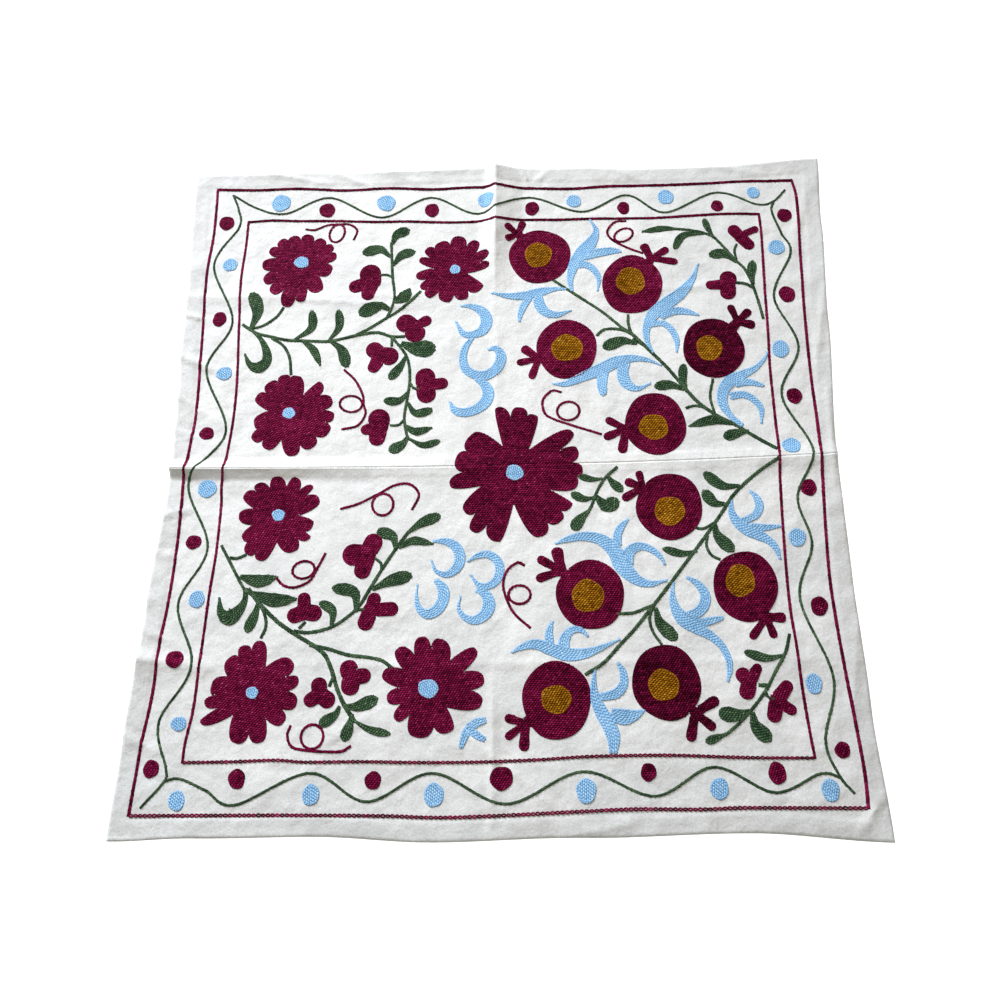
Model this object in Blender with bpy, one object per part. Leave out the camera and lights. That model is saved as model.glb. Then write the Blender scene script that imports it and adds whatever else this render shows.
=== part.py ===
"""A square cotton wall cloth of two joined panels, lying on a surface with its storage creases.

The cloth lies in the XY plane, +Y away from the viewer, its underside on Z = 0. The origin is the
middle of the footprint. Embroidery is flat stitching on this cloth, so the solids hold the ground
cloth alone: its uneven outline, its hem, its middle seam and the folds that stand up from the surface.
"""

import bmesh
import bpy

# Driving sizes, in metres
HALF_WIDTH = 0.452
HALF_LENGTH = 0.456
CLOTH_THICK = 0.0015
SEAM_GAP = 0.0003

# A turned hem runs round the outside, and the seam allowances are pressed open beside the seam.
HEM_WIDTH = 0.020
HEM_EXTRA = 0.0007
SEAM_ALLOWANCE = 0.010
SEAM_EXTRA = 0.0004
STEP_WIDTH = 0.004
EDGE_ROUND = 0.004
EDGE_SHARE = 0.6

# A fold's flank is steepest at its crest: 1 would be a plain tent, 2 a sharp-crested cusp.
FOLD_SHARPNESS = 1.4
# Faces that meet at more than this angle, in radians, are shaded with a sharp edge.
SHARP_ANGLE = 0.9

# The seam runs a little uphill to the right: its height on the left, in the middle and on the right.
SEAM_LEFT = 0.0005
SEAM_MIDDLE = 0.0010
SEAM_RIGHT = 0.0125

# Each side bows in from the square. Columns: place along the side, inset from the square.
LEFT_INSETS = (
    (-0.456, 0.0000),
    (-0.350, 0.0045),
    (-0.170, 0.0135),
    (-0.010, 0.0235),
    (0.080, 0.0215),
    (0.200, 0.0175),
    (0.456, 0.0105),
)
RIGHT_INSETS = (
    (-0.448, 0.0035),
    (-0.300, 0.0115),
    (-0.150, 0.0165),
    (0.010, 0.0190),
    (0.200, 0.0105),
    (0.350, 0.0045),
    (0.456, 0.0000),
)
BOTTOM_INSETS = (
    (-0.452, 0.0000),
    (-0.350, 0.0045),
    (-0.200, 0.0075),
    (-0.080, 0.0030),
    (0.100, 0.0095),
    (0.300, 0.0165),
    (0.452, 0.0085),
)
TOP_INSETS = (
    (-0.452, 0.0035),
    (-0.250, 0.0025),
    (-0.170, 0.0040),
    (-0.010, 0.0020),
    (0.100, 0.0065),
    (0.200, 0.0105),
    (0.300, 0.0095),
    (0.452, 0.0000),
)

# Folds that stand up, along a straight crest. A start or end off the cloth runs out over its edge.
# Columns: start x, start y, end x, end y, height at start, height at end,
#          spread on the left of start to end, spread on its right.
FOLDS = (
    # The upright storage crease, tallest at the top hem
    (-0.004, 0.470, -0.004, 0.360, 0.0110, 0.0100, 0.040, 0.018),
    (-0.004, 0.360, -0.004, 0.220, 0.0100, 0.0000, 0.026, 0.028),
    # The upper panel's quarter crease, and the tuck on the lower one that answers it
    (-0.460, 0.254, -0.040, 0.250, 0.0022, 0.0008, 0.012, 0.026),
    (-0.460, -0.243, -0.300, -0.262, 0.0050, 0.0000, 0.016, 0.030),
    # Ripples that run in from the left hem
    (-0.460, 0.185, -0.370, 0.130, 0.0032, 0.0000, 0.014, 0.022),
    (-0.465, -0.165, -0.395, -0.180, 0.0030, 0.0000, 0.014, 0.022),
    # The top hem lifts in two places
    (-0.410, 0.466, -0.270, 0.462, 0.0026, 0.0020, 0.024, 0.024),
    (-0.170, 0.464, -0.020, 0.464, 0.0034, 0.0034, 0.024, 0.024),
    (0.110, 0.470, 0.170, 0.420, 0.0030, 0.0000, 0.018, 0.026),
    # The right hem rolls, and the two lower corners turn up
    (0.452, 0.340, 0.445, -0.050, 0.0016, 0.0026, 0.022, 0.022),
    (0.465, -0.380, 0.465, -0.470, 0.0000, 0.0055, 0.045, 0.045),
    (-0.420, -0.470, -0.240, -0.462, 0.0026, 0.0016, 0.024, 0.024),
)

# The storage crease lies on the seam, high at the cloth's two sides and low in the middle.
# Columns: x, height of the crest, spread above the seam, spread below it.
SEAM_CREASE = (
    (-0.460, 0.0080, 0.015, 0.014),
    (-0.300, 0.0060, 0.016, 0.016),
    (-0.050, 0.0016, 0.020, 0.026),
    (0.120, 0.0008, 0.024, 0.028),
    (0.460, 0.0034, 0.022, 0.026),
)

# Grid lines across the cloth, closer where it folds. Columns: from, to, longest step, as shares
# of the width from left to right, or of a panel's length from the seam out to its hem.
COLUMN_BANDS = (
    (0.000, 0.005, 0.005),
    (0.005, 0.022, 0.009),
    (0.022, 0.028, 0.006),
    (0.028, 0.120, 0.019),
    (0.120, 0.440, 0.050),
    (0.440, 0.545, 0.009),
    (0.545, 0.972, 0.050),
    (0.972, 0.978, 0.006),
    (0.978, 0.995, 0.009),
    (0.995, 1.000, 0.005),
)
ROW_BANDS = (
    (0.000, 0.040, 0.008),
    (0.040, 0.490, 0.056),
    (0.490, 0.610, 0.020),
    (0.610, 0.940, 0.055),
    (0.940, 0.990, 0.013),
    (0.990, 1.000, 0.010),
)

COTTON_COLOUR = (0.83, 0.82, 0.77, 1.0)
COTTON_ROUGHNESS = 0.9


def clear_scene():
    """Removes whatever the scene holds at the start."""
    for existing in list(bpy.data.objects):
        bpy.data.objects.remove(existing, do_unlink=True)


def mix(low, high, share):
    """The value that lies share of the way from low to high."""
    return low + (high - low) * share


def smooth(share):
    """Runs from 0 to 1 with level ends, and stays there outside."""
    share = min(1.0, max(0.0, share))
    return share * share * (3.0 - 2.0 * share)


def along_table(table, place):
    """The values of a table's later columns at a place of its first column, eased between the rows."""
    if place <= table[0][0]:
        return table[0][1:]
    for before, after in zip(table, table[1:]):
        if place <= after[0]:
            share = smooth((place - before[0]) / (after[0] - before[0]))
            return tuple(mix(low, high, share) for low, high in zip(before[1:], after[1:]))
    return table[-1][1:]


def left_side(y):
    return -HALF_WIDTH + along_table(LEFT_INSETS, y)[0]


def right_side(y):
    return HALF_WIDTH - along_table(RIGHT_INSETS, y)[0]


def bottom_side(x):
    return -HALF_LENGTH + along_table(BOTTOM_INSETS, x)[0]


def top_side(x):
    return HALF_LENGTH - along_table(TOP_INSETS, x)[0]


def seam_line(x):
    """The seam's Y at a given X: a shallow bow through its three named heights."""
    share = x / HALF_WIDTH
    slope = (SEAM_RIGHT - SEAM_LEFT) / 2.0
    bow = (SEAM_RIGHT + SEAM_LEFT) / 2.0 - SEAM_MIDDLE
    return SEAM_MIDDLE + slope * share + bow * share * share


def flank(distance, spread):
    """A fold's profile: 1 on its crest, falling to 0 at its spread."""
    share = min(1.0, abs(distance) / spread)
    return (1.0 - share) ** FOLD_SHARPNESS


def fold_height(x, y, fold):
    """How far one fold of the table lifts the cloth at a point."""
    x0, y0, x1, y1, start_height, end_height, left_spread, right_spread = fold
    run_x, run_y = x1 - x0, y1 - y0
    length = (run_x * run_x + run_y * run_y) ** 0.5
    along = ((x - x0) * run_x + (y - y0) * run_y) / length
    across = ((y - y0) * run_x - (x - x0) * run_y) / length
    past = max(0.0, -along, along - length)
    spread = left_spread if across > 0.0 else right_spread
    height = mix(start_height, end_height, min(1.0, max(0.0, along / length)))
    return height * flank((across * across + past * past) ** 0.5, spread)


def crease_height(x, y):
    """How far the crease along the seam lifts the cloth at a point."""
    height, above, below = along_table(SEAM_CREASE, x)
    across = y - seam_line(x)
    return height * flank(across, above if across > 0.0 else below)


def lift(x, y):
    """The underside's height over the surface: 0 wherever the cloth lies flat."""
    return max(crease_height(x, y), max(fold_height(x, y, fold) for fold in FOLDS))


def thickness(x, y):
    """The cloth's thickness at a point, more over the hem and the seam allowances, less at an edge."""
    from_edge = min(x - left_side(y), right_side(y) - x, y - bottom_side(x), top_side(x) - y)
    from_seam = abs(y - seam_line(x))
    hem = smooth((HEM_WIDTH + STEP_WIDTH - from_edge) / STEP_WIDTH)
    allowance = smooth((SEAM_ALLOWANCE + STEP_WIDTH - from_seam) / STEP_WIDTH)
    full = CLOTH_THICK + max(HEM_EXTRA * hem, SEAM_EXTRA * allowance)
    rounded = mix(EDGE_SHARE, 1.0, smooth(min(from_edge, from_seam) / EDGE_ROUND))
    return full * rounded


def grid_lines(bands):
    """The grid lines of a table of bands, each band in equal steps no longer than its longest."""
    lines = [bands[0][0]]
    for start, end, longest in bands:
        count = max(1, round((end - start) / longest))
        lines += [mix(start, end, (step + 1) / count) for step in range(count)]
    return lines


def cotton():
    """Undyed cotton, matt and a little warm."""
    material = bpy.data.materials.new("cotton")
    material.use_nodes = True
    shader = material.node_tree.nodes["Principled BSDF"]
    shader.inputs["Base Color"].default_value = COTTON_COLOUR
    shader.inputs["Roughness"].default_value = COTTON_ROUGHNESS
    shader.inputs["Metallic"].default_value = 0.0
    return material


def panel(name, outer_side, direction, material, collection):
    """One panel, from the seam out to outer_side. direction is 1 above the seam and -1 below it."""
    columns, rows = grid_lines(COLUMN_BANDS), grid_lines(ROW_BANDS)
    across, out = len(columns) - 1, len(rows) - 1
    shape = bmesh.new()
    bmesh.ops.create_grid(shape, x_segments=across, y_segments=out, size=0.5)
    for vertex in shape.verts:
        column = columns[round((vertex.co.x + 0.5) * across)]
        row = rows[round((vertex.co.y + 0.5) * out)]
        square_x = mix(-HALF_WIDTH, HALF_WIDTH, column)
        inner = seam_line(square_x) + direction * SEAM_GAP / 2.0
        y = mix(inner, outer_side(square_x), row)
        x = mix(left_side(y), right_side(y), column)
        vertex.co = (x, y, lift(x, y))
    grown = bmesh.ops.extrude_face_region(shape, geom=shape.faces[:])
    for vertex in grown["geom"]:
        if isinstance(vertex, bmesh.types.BMVert):
            vertex.co.z += thickness(vertex.co.x, vertex.co.y)
    bmesh.ops.recalc_face_normals(shape, faces=shape.faces[:])
    mesh = bpy.data.meshes.new(name)
    shape.to_mesh(mesh)
    shape.free()
    mesh.shade_smooth()
    mesh.set_sharp_from_angle(angle=SHARP_ANGLE)
    mesh.materials.append(material)
    collection.objects.link(bpy.data.objects.new(name, mesh))


def main():
    clear_scene()
    collection = bpy.data.collections.new("embroidered_cloth")
    bpy.context.scene.collection.children.link(collection)
    material = cotton()
    panel("upper_panel", top_side, 1.0, material, collection)
    panel("lower_panel", bottom_side, -1.0, material, collection)


main()
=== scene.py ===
"""The looks of the embroidered cloth: fine cotton panels, and the stitches worked on them.

The two panels are thin closed sheets on the folds of the solids, with finer wrinkles. Every stitch is
its own small raised form that follows the cloth: rows of slanted stitches fill the motifs, and chain
stitch makes the border, the stems and the curls. Motifs are built from tables in centimetres. Their
places were read point by point off enlarged views of the photograph with a grid over them.
"""

import math

import bpy
import numpy as np
from mathutils import Matrix, Vector


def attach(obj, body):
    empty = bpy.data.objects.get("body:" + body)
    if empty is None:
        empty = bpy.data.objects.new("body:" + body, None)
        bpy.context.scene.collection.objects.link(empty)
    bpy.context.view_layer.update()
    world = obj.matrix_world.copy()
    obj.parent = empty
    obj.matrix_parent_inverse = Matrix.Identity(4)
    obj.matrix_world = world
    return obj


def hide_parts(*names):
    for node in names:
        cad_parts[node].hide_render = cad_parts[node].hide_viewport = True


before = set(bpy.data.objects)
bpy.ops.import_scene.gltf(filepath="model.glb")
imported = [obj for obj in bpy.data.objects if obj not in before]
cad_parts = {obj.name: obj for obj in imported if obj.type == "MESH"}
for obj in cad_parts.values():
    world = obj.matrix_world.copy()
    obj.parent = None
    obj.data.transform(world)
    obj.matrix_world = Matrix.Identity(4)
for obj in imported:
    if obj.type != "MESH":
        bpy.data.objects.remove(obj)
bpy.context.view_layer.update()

# The cloth's own sizes and folds, in metres, as the solids have them
HALF_WIDTH = 0.452
HALF_LENGTH = 0.456
CLOTH_THICK = 0.0015
SEAM_GAP = 0.0003
HEM_WIDTH = 0.020
HEM_EXTRA = 0.0007
SEAM_ALLOWANCE = 0.010
SEAM_EXTRA = 0.0004
STEP_WIDTH = 0.004
EDGE_SHARE = 0.35
HEM_ROUND = 0.003
SEAM_ROUND = 0.0016
FOLD_SHARPNESS = 1.4
SEAM_LEFT = 0.0005
SEAM_MIDDLE = 0.0010
SEAM_RIGHT = 0.0125
# A band of painted shade that darkens the cotton along the hem: its width, and a head start that carries the
# darkening further in
HEM_SHADE_WIDTH = 0.028
HEM_SHADE_START = 0.35

# Columns: place along the side, inset from the square
LEFT_INSETS = (
    (-0.456, 0.0000),
    (-0.350, 0.0045),
    (-0.170, 0.0135),
    (-0.010, 0.0235),
    (0.080, 0.0215),
    (0.200, 0.0175),
    (0.456, 0.0105),
)
RIGHT_INSETS = (
    (-0.448, 0.0035),
    (-0.300, 0.0115),
    (-0.150, 0.0165),
    (0.010, 0.0190),
    (0.200, 0.0105),
    (0.350, 0.0045),
    (0.456, 0.0000),
)
BOTTOM_INSETS = (
    (-0.452, 0.0000),
    (-0.350, 0.0045),
    (-0.200, 0.0075),
    (-0.080, 0.0030),
    (0.100, 0.0095),
    (0.300, 0.0165),
    (0.452, 0.0085),
)
TOP_INSETS = (
    (-0.452, 0.0035),
    (-0.250, 0.0025),
    (-0.170, 0.0040),
    (-0.010, 0.0020),
    (0.100, 0.0065),
    (0.200, 0.0105),
    (0.300, 0.0095),
    (0.452, 0.0000),
)

# Columns: start x, start y, end x, end y, height at start, height at end, spread left, spread right
FOLDS = (
    (-0.004, 0.470, -0.004, 0.360, 0.0110, 0.0100, 0.040, 0.018),
    (-0.004, 0.360, -0.004, 0.220, 0.0100, 0.0000, 0.026, 0.028),
    (-0.460, 0.254, -0.040, 0.250, 0.0022, 0.0008, 0.012, 0.026),
    (-0.460, -0.243, -0.300, -0.262, 0.0050, 0.0000, 0.016, 0.030),
    (-0.460, 0.185, -0.370, 0.130, 0.0032, 0.0000, 0.014, 0.022),
    (-0.465, -0.165, -0.395, -0.180, 0.0030, 0.0000, 0.014, 0.022),
    (-0.410, 0.466, -0.270, 0.462, 0.0026, 0.0020, 0.024, 0.024),
    (-0.170, 0.464, -0.020, 0.464, 0.0034, 0.0034, 0.024, 0.024),
    (0.110, 0.470, 0.170, 0.420, 0.0030, 0.0000, 0.018, 0.026),
    (0.452, 0.340, 0.445, -0.050, 0.0016, 0.0026, 0.022, 0.022),
    (0.465, -0.380, 0.465, -0.470, 0.0000, 0.0055, 0.045, 0.045),
    (-0.420, -0.470, -0.240, -0.462, 0.0026, 0.0016, 0.024, 0.024),
)

# Columns: x, height of the crest, spread above the seam, spread below it
SEAM_CREASE = (
    (-0.460, 0.0080, 0.015, 0.014),
    (-0.300, 0.0060, 0.016, 0.016),
    (-0.050, 0.0016, 0.020, 0.026),
    (0.120, 0.0008, 0.024, 0.028),
    (0.460, 0.0034, 0.022, 0.026),
)

# A wrinkle's flank is sharper than a fold's, and it rises this many times the height in its table.
WRINKLE_SHARPNESS = 1.6
WRINKLE_RISE = 1.8
# The part of a half wave that a wrinkle's crest follows, so that its two ends stay a little up.
WRINKLE_ENDS = (0.1, 0.9)

# Fine wrinkles on top of the folds. Columns: start x, start y, end x, end y, height, spread
WRINKLES = (
    (-0.445, 0.230, -0.395, 0.215, 0.0012, 0.006),
    (-0.442, 0.165, -0.380, 0.140, 0.0012, 0.006),
    (-0.440, 0.110, -0.360, 0.060, 0.0010, 0.008),
    (-0.438, 0.060, -0.370, 0.030, 0.0009, 0.007),
    (-0.440, -0.065, -0.395, -0.055, 0.0012, 0.006),
    (-0.448, -0.110, -0.400, -0.120, 0.0008, 0.008),
    (-0.450, -0.205, -0.400, -0.225, 0.0010, 0.007),
    (-0.452, -0.335, -0.400, -0.355, 0.0010, 0.008),
    (-0.330, 0.452, -0.240, 0.432, 0.0010, 0.008),
    (-0.240, 0.452, -0.180, 0.425, 0.0011, 0.007),
    (-0.150, 0.452, -0.100, 0.420, 0.0008, 0.010),
    (0.030, 0.452, 0.045, 0.424, 0.0013, 0.005),
    (0.075, 0.450, 0.050, 0.424, 0.0010, 0.006),
    (0.170, 0.445, 0.200, 0.425, 0.0010, 0.007),
    (0.300, 0.447, 0.380, 0.430, 0.0008, 0.010),
    (0.430, 0.400, 0.400, 0.300, 0.0008, 0.012),
    (0.440, 0.250, 0.420, 0.140, 0.0009, 0.010),
    (0.430, 0.120, 0.425, -0.060, 0.0010, 0.009),
    (0.435, -0.200, 0.415, -0.320, 0.0008, 0.012),
    (0.410, -0.440, 0.440, -0.400, 0.0012, 0.010),
    (0.080, -0.445, 0.160, -0.430, 0.0008, 0.010),
    (-0.040, -0.330, 0.080, -0.420, 0.0007, 0.008),
    (-0.090, -0.350, -0.020, -0.400, 0.0006, 0.007),
    (-0.002, -0.260, -0.002, -0.452, 0.0008, 0.010),
    (-0.300, 0.250, -0.110, 0.232, 0.0008, 0.010),
    (0.060, 0.245, 0.420, 0.262, 0.0006, 0.012),
    (-0.250, -0.255, 0.380, -0.245, 0.0005, 0.012),
    (0.230, 0.330, 0.330, 0.250, 0.0006, 0.014),
    (0.000, 0.215, 0.000, 0.030, 0.0006, 0.012),
    (-0.210, -0.350, -0.130, -0.300, 0.0006, 0.010),
)

# Each wave bends by a slower one, this share of its pace.
WAVE_BEND = 0.37
# Soft waves of the whole cloth. Columns: wavelength, direction in degrees, phase, height
WAVES = (
    (0.310, 24.0, 0.4, 0.00050),
    (0.190, 118.0, 2.1, 0.00040),
    (0.083, 71.0, 4.0, 0.00022),
    (0.061, 160.0, 1.2, 0.00017),
    (0.037, 15.0, 5.3, 0.00009),
)

# Lines of the cloth's grid, as shares. Columns: from, to, longest step
COLUMN_BANDS = (
    (0.000, 0.006, 0.0012),
    (0.006, 0.026, 0.0025),
    (0.026, 0.470, 0.0050),
    (0.470, 0.545, 0.0024),
    (0.545, 0.974, 0.0050),
    (0.974, 0.994, 0.0025),
    (0.994, 1.000, 0.0012),
)
ROW_BANDS = (
    (0.000, 0.006, 0.0012),
    (0.006, 0.060, 0.0045),
    (0.060, 0.480, 0.0105),
    (0.480, 0.610, 0.0070),
    (0.610, 0.900, 0.0100),
    (0.900, 0.990, 0.0060),
    (0.990, 1.000, 0.0025),
)

# Motif tables are in centimetres from the middle of the embroidered border.
CM = 0.01
BORDER_MIDDLE = (0.0019, 0.0008)
BORDER_SCALE = (1.0, 0.998)

# Corners and places of the two border lines, clockwise from the top left. Columns: x, y
OUTER_LINE = (
    -41, 42.8, -35.5, 42.6, -29, 42.7, -22.4, 42.2, -15.5, 42.35, -10, 42, -4, 42.15, 0, 42, 4.5, 41.75,
    10, 41.5, 15.5, 41.7, 22, 41.7, 28.5, 41.8, 33.5, 42, 41.1, 41.95, 41.5, 38.7, 41.2, 30, 40.9, 21,
    40.9, 12, 41.1, 3.5, 41, -1.5, 40.7, -8.5, 40.6, -15, 40.8, -20, 41.3, -26.5, 41.8, -32,
    42.2, -37.5, 42.2, -41.3, 34, -41.35, 28, -41.4, 23.5, -41.6, 16, -41.65, 9, -42, 2, -42.4,
    -6, -42.75, -12.5, -42.65, -20, -42.65, -27, -42.7, -35, -42.8, -43, -42.9, -42.75, -38.5,
    -42.5, -34.5, -42, -30, -41.75, -26, -41.7, -22.5, -41.2, -17, -41, -10, -41, -5, -41.1, -1.5,
    -40.8, 3, -40.5, 8, -40.6, 13.5, -40.85, 20, -41.2, 29, -40.85, 35, -40.9, 39.5,
)
INNER_LINE = (
    -36, 37.3, -32.5, 37.5, -28, 37.3, -23, 37.15, -18, 36.8, -13, 36.7, -7, 36.4, -2, 36.5, 3, 36.6,
    8, 36.5, 14, 36.5, 22, 36.4, 30.5, 36.7, 36.1, 36.6, 36.2, 33, 36, 26, 35.85, 18, 35.7, 13, 35.8, 6,
    35.9, 2, 35.7, -2.5, 35.5, -9, 35.5, -17.5, 35.85, -23, 36.1, -28, 36.5, -33, 36.8, -35.9,
    29, -35.9, 20, -35.7, 11, -35.9, 5, -36.3, -2, -36.6, -9, -36.7, -16, -36.65, -22.5, -36.75,
    -26, -36.55, -31, -36.75, -37.3, -36.9, -37.2, -34.5, -36.7, -31, -36.5, -27, -36.3, -21,
    -36.1, -16, -35.8, -11, -35.8, -5, -36, -2, -35.6, 3, -35.3, 8, -35.4, 14, -35.8, 20.5, -36.2, 28,
    -36, 33.5,
)

# The border vine, one run for each side, through its crests and its corner tails. Columns: x, y
VINES = (
    (-38.6, 41.8, -35, 39.6, -30.8, 38.6, -24.4, 41, -16.8, 37.5, -9.9, 40.6, -3.2, 37.8, 4, 40.2,
     11.6, 37.7, 17.9, 40.2, 23.2, 37.25, 30.4, 40.25, 35.9, 38.2, 38.2, 38.6, 40, 40.4),
    (38.3, 38.6, 37.9, 37, 38.9, 33.6, 39.9, 30.4, 37.1, 23.7, 39.65, 16.3, 36.9, 9.4, 40.1, 1.8,
     37.65, -4.6, 38.85, -10.6, 36.8, -17.4, 39.8, -26.8, 38.2, -33.9, 39.3, -37.7, 40.8, -39.7),
    (-39.2, -39, -37.4, -38.75, -34.2, -40, -30.5, -41.6, -21.9, -38, -15, -41.1, -7.4, -37.9,
     1.2, -41.2, 10.1, -37.6, 18.3, -40.2, 25.2, -37, 31.9, -39.7, 37.2, -37.65, 39.5, -38),
    (-38.6, 41.8, -37.6, 39.3, -37.3, 36.4, -40.3, 30.3, -36.8, 21.4, -39.7, 14.2, -36.2, 5.2,
     -40.4, -1.9, -37, -10.6, -39.95, -17.9, -37.4, -25.5, -40.7, -32.2, -39.2, -37.6, -39.3, -39.1,
     -41.7, -42),
)

# Columns: x, y, half width, half height
BLUE_DOTS = (
    -31.5, 40.35, 1.35, 1.35, -16.2, 39.85, 1.3, 1.3, -1.95, 39.95, 1.1, 1.15, 10.5, 39.45, 1, 1,
    23.4, 39.75, 1.1, 1.15, 35.6, 40.1, 0.85, 0.9, 38.1, 31.3, 1.1, 1.1, 37.3, 15.9, 1.05, 1.25,
    37.5, 2.35, 1.15, 1, 37.15, -9.75, 1, 1.15, 37.5, -27.5, 0.95, 1.15, 38.2, -39.4, 1, 1.2,
    25.7, -39.35, 1, 1.2, 10.5, -39.7, 1.15, 1.35, -7.15, -40.3, 1.1, 1.35, -21.6, -40.4, 1, 1.15,
    -37.5, -41.2, 0.97, 1.1, -38.25, -32.45, 0.95, 0.8, -37.65, -17.3, 1, 1.05, -37.85, -2.75, 1.2, 1.2,
    -37.2, 13.6, 1.05, 0.95, -38, 30.35, 1, 1,
)
BURGUNDY_DOTS = (
    -24.7, 38.95, 1.15, 1.1, -9.6, 38.5, 1, 1.1, 4.6, 38.4, 0.95, 1.1, 17.45, 38.15, 0.8, 1,
    30.45, 38.05, 0.8, 0.9, 39.6, 36.35, 1, 1, 38.85, 24, 1.05, 1.2, 38.5, 9.2, 1, 1.05,
    39.15, -3.3, 0.95, 1.1, 39, -18.3, 1, 1.15, 40, -35, 0.85, 0.9, 32.4, -37.6, 0.97, 1.25,
    17.7, -37.6, 0.87, 1, 0.7, -38.4, 1.3, 1.35, -14.35, -38.75, 0.95, 1, -30.55, -38.7, 1, 1.1,
    -41, -37.65, 0.95, 1, -39.55, -24.75, 1.1, 1, -38.9, -9.9, 1, 0.9, -38.75, 4.95, 0.95, 0.9,
    -38.65, 21.8, 0.95, 1.1, -39.15, 37.15, 1.1, 1.1,
)

# Flowers: eye x, y and half width, how far the rows tilt from level in degrees, the thread's tone, and
# the petals. Their columns: direction of the tip in degrees, its reach, direction of the cleft after
# it, its reach
FLOWERS = {
    "flower_1": (-27.8, 30.5, 1, -6, 0.04, (
        12, 5, 21, 4.2, 31, 5, 41, 4.1, 52, 4.7, 66, 3.6, 81, 4.6, 96, 3.7, 111, 4.6, 121, 4.1,
        131, 5, 144, 4.3, 156, 5.2, 167, 3.8, 182, 5.6, 196, 4.4, 211, 5.9, 220, 4.9,
        233, 6.2, 243, 4.9, 256, 7.2, 266, 5.7, 275, 6.3, 285, 4.2, 302, 5.5, 320, 3.4,
        343, 4.6, 357, 3.5,
    )),
    "flower_2": (-6.1, 28.85, 0.73, 3, 0.02, (
        8, 4.8, 18, 3.7, 30, 5.3, 42, 3.7, 56, 5.4, 68, 4, 85, 5.3, 101, 4, 118, 4.9, 130, 4.4,
        142, 5.3, 152, 3.9, 162, 5.3, 175, 3.1, 190, 5.5, 201, 4.1, 211, 5.5, 218, 4.9,
        229, 5.7, 238, 4, 256, 5.2, 269, 3.9, 287, 4.9, 298, 3.8, 325, 4.8, 340, 1.7,
    )),
    "flower_3": (-27.85, 7.65, 0.84, -12, 0.02, (
        18, 6, 32, 4.6, 49, 6, 57, 3.1, 83, 5.5, 92, 5.1, 102, 5.7, 112, 4.9, 125, 5.5, 138, 4.5,
        153, 5.3, 172, 2.8, 196, 4.8, 208, 4.6, 219, 5.9, 230, 4.8, 242, 5.7, 259, 3.7,
        278, 6.1, 292, 4.8, 305, 6, 319, 5, 335, 6.2, 345, 5.2, 356, 6.1, 365, 4.6,
    )),
    "flower_4": (-28.15, -6.4, 0.82, 7, 0.03, (
        21, 5.6, 37, 4.2, 43, 5.7, 53, 4.1, 69, 5.4, 79, 3.8, 98, 5.2, 111, 3.9, 128, 5.3, 135, 4.5,
        150, 5.5, 164, 3.4, 180, 5.2, 201, 3.5, 215, 5.4, 223, 5, 235, 6.3, 243, 5.5,
        252, 6.3, 271, 3.5, 297, 5.4, 311, 4.2, 326, 5.3, 328, 4.1, 346, 4.8, 358, 2.7,
    )),
    "flower_5": (-29.6, -28.75, 0.75, -9, 0.04, (
        17, 5.8, 25, 4.5, 40, 6, 66, 3.3, 85, 6.3, 96, 5.1, 107, 5.9, 116, 4.7, 126, 5.3, 149, 3.7,
        171, 5.2, 184, 4.7, 192, 5.9, 204, 4.3, 210, 7, 231, 3.3, 255, 6.1, 270, 4.8, 284, 6, 302, 3.6,
        319, 5.4, 333, 4.2, 347, 5.7, 363, 4.3,
    )),
    "flower_6": (-8.15, -28.2, 1.2, 5, 0.02, (
        10, 6.8, 26, 4.6, 40, 7.4, 53, 4.1, 78, 6.1, 88, 4.9, 100, 6.3, 114, 4.4, 130, 6.2, 144, 3.9,
        163, 5.9, 178, 3.6, 195, 5.1, 209, 3.6, 224, 5.3, 235, 3.7, 255, 5.8, 280, 4.5,
        301, 5.7, 316, 3.1, 346, 6.7, 358, 5,
    )),
    "central_flower": (2.2, -1, 1.1, -3, -0.06, (
        3, 8.7, 10, 7.3, 22, 8.7, 28, 6.6, 37, 9.4, 60, 3.5, 70, 8.4, 78, 8, 87, 9.1, 94, 7.6,
        105, 9.4, 113, 3.8, 136, 7.8, 154, 6.9, 167, 7.9, 179, 6.6, 191, 8.5, 202, 4.5,
        218, 8.2, 227, 7.1, 235, 9.4, 243, 7.7, 257, 9.4, 268, 4, 291, 9.1, 302, 7.7,
        313, 8.7, 319, 7.6, 330, 8.5, 333, 5, 349, 8.2, 355, 7.8,
    )),
}

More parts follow.
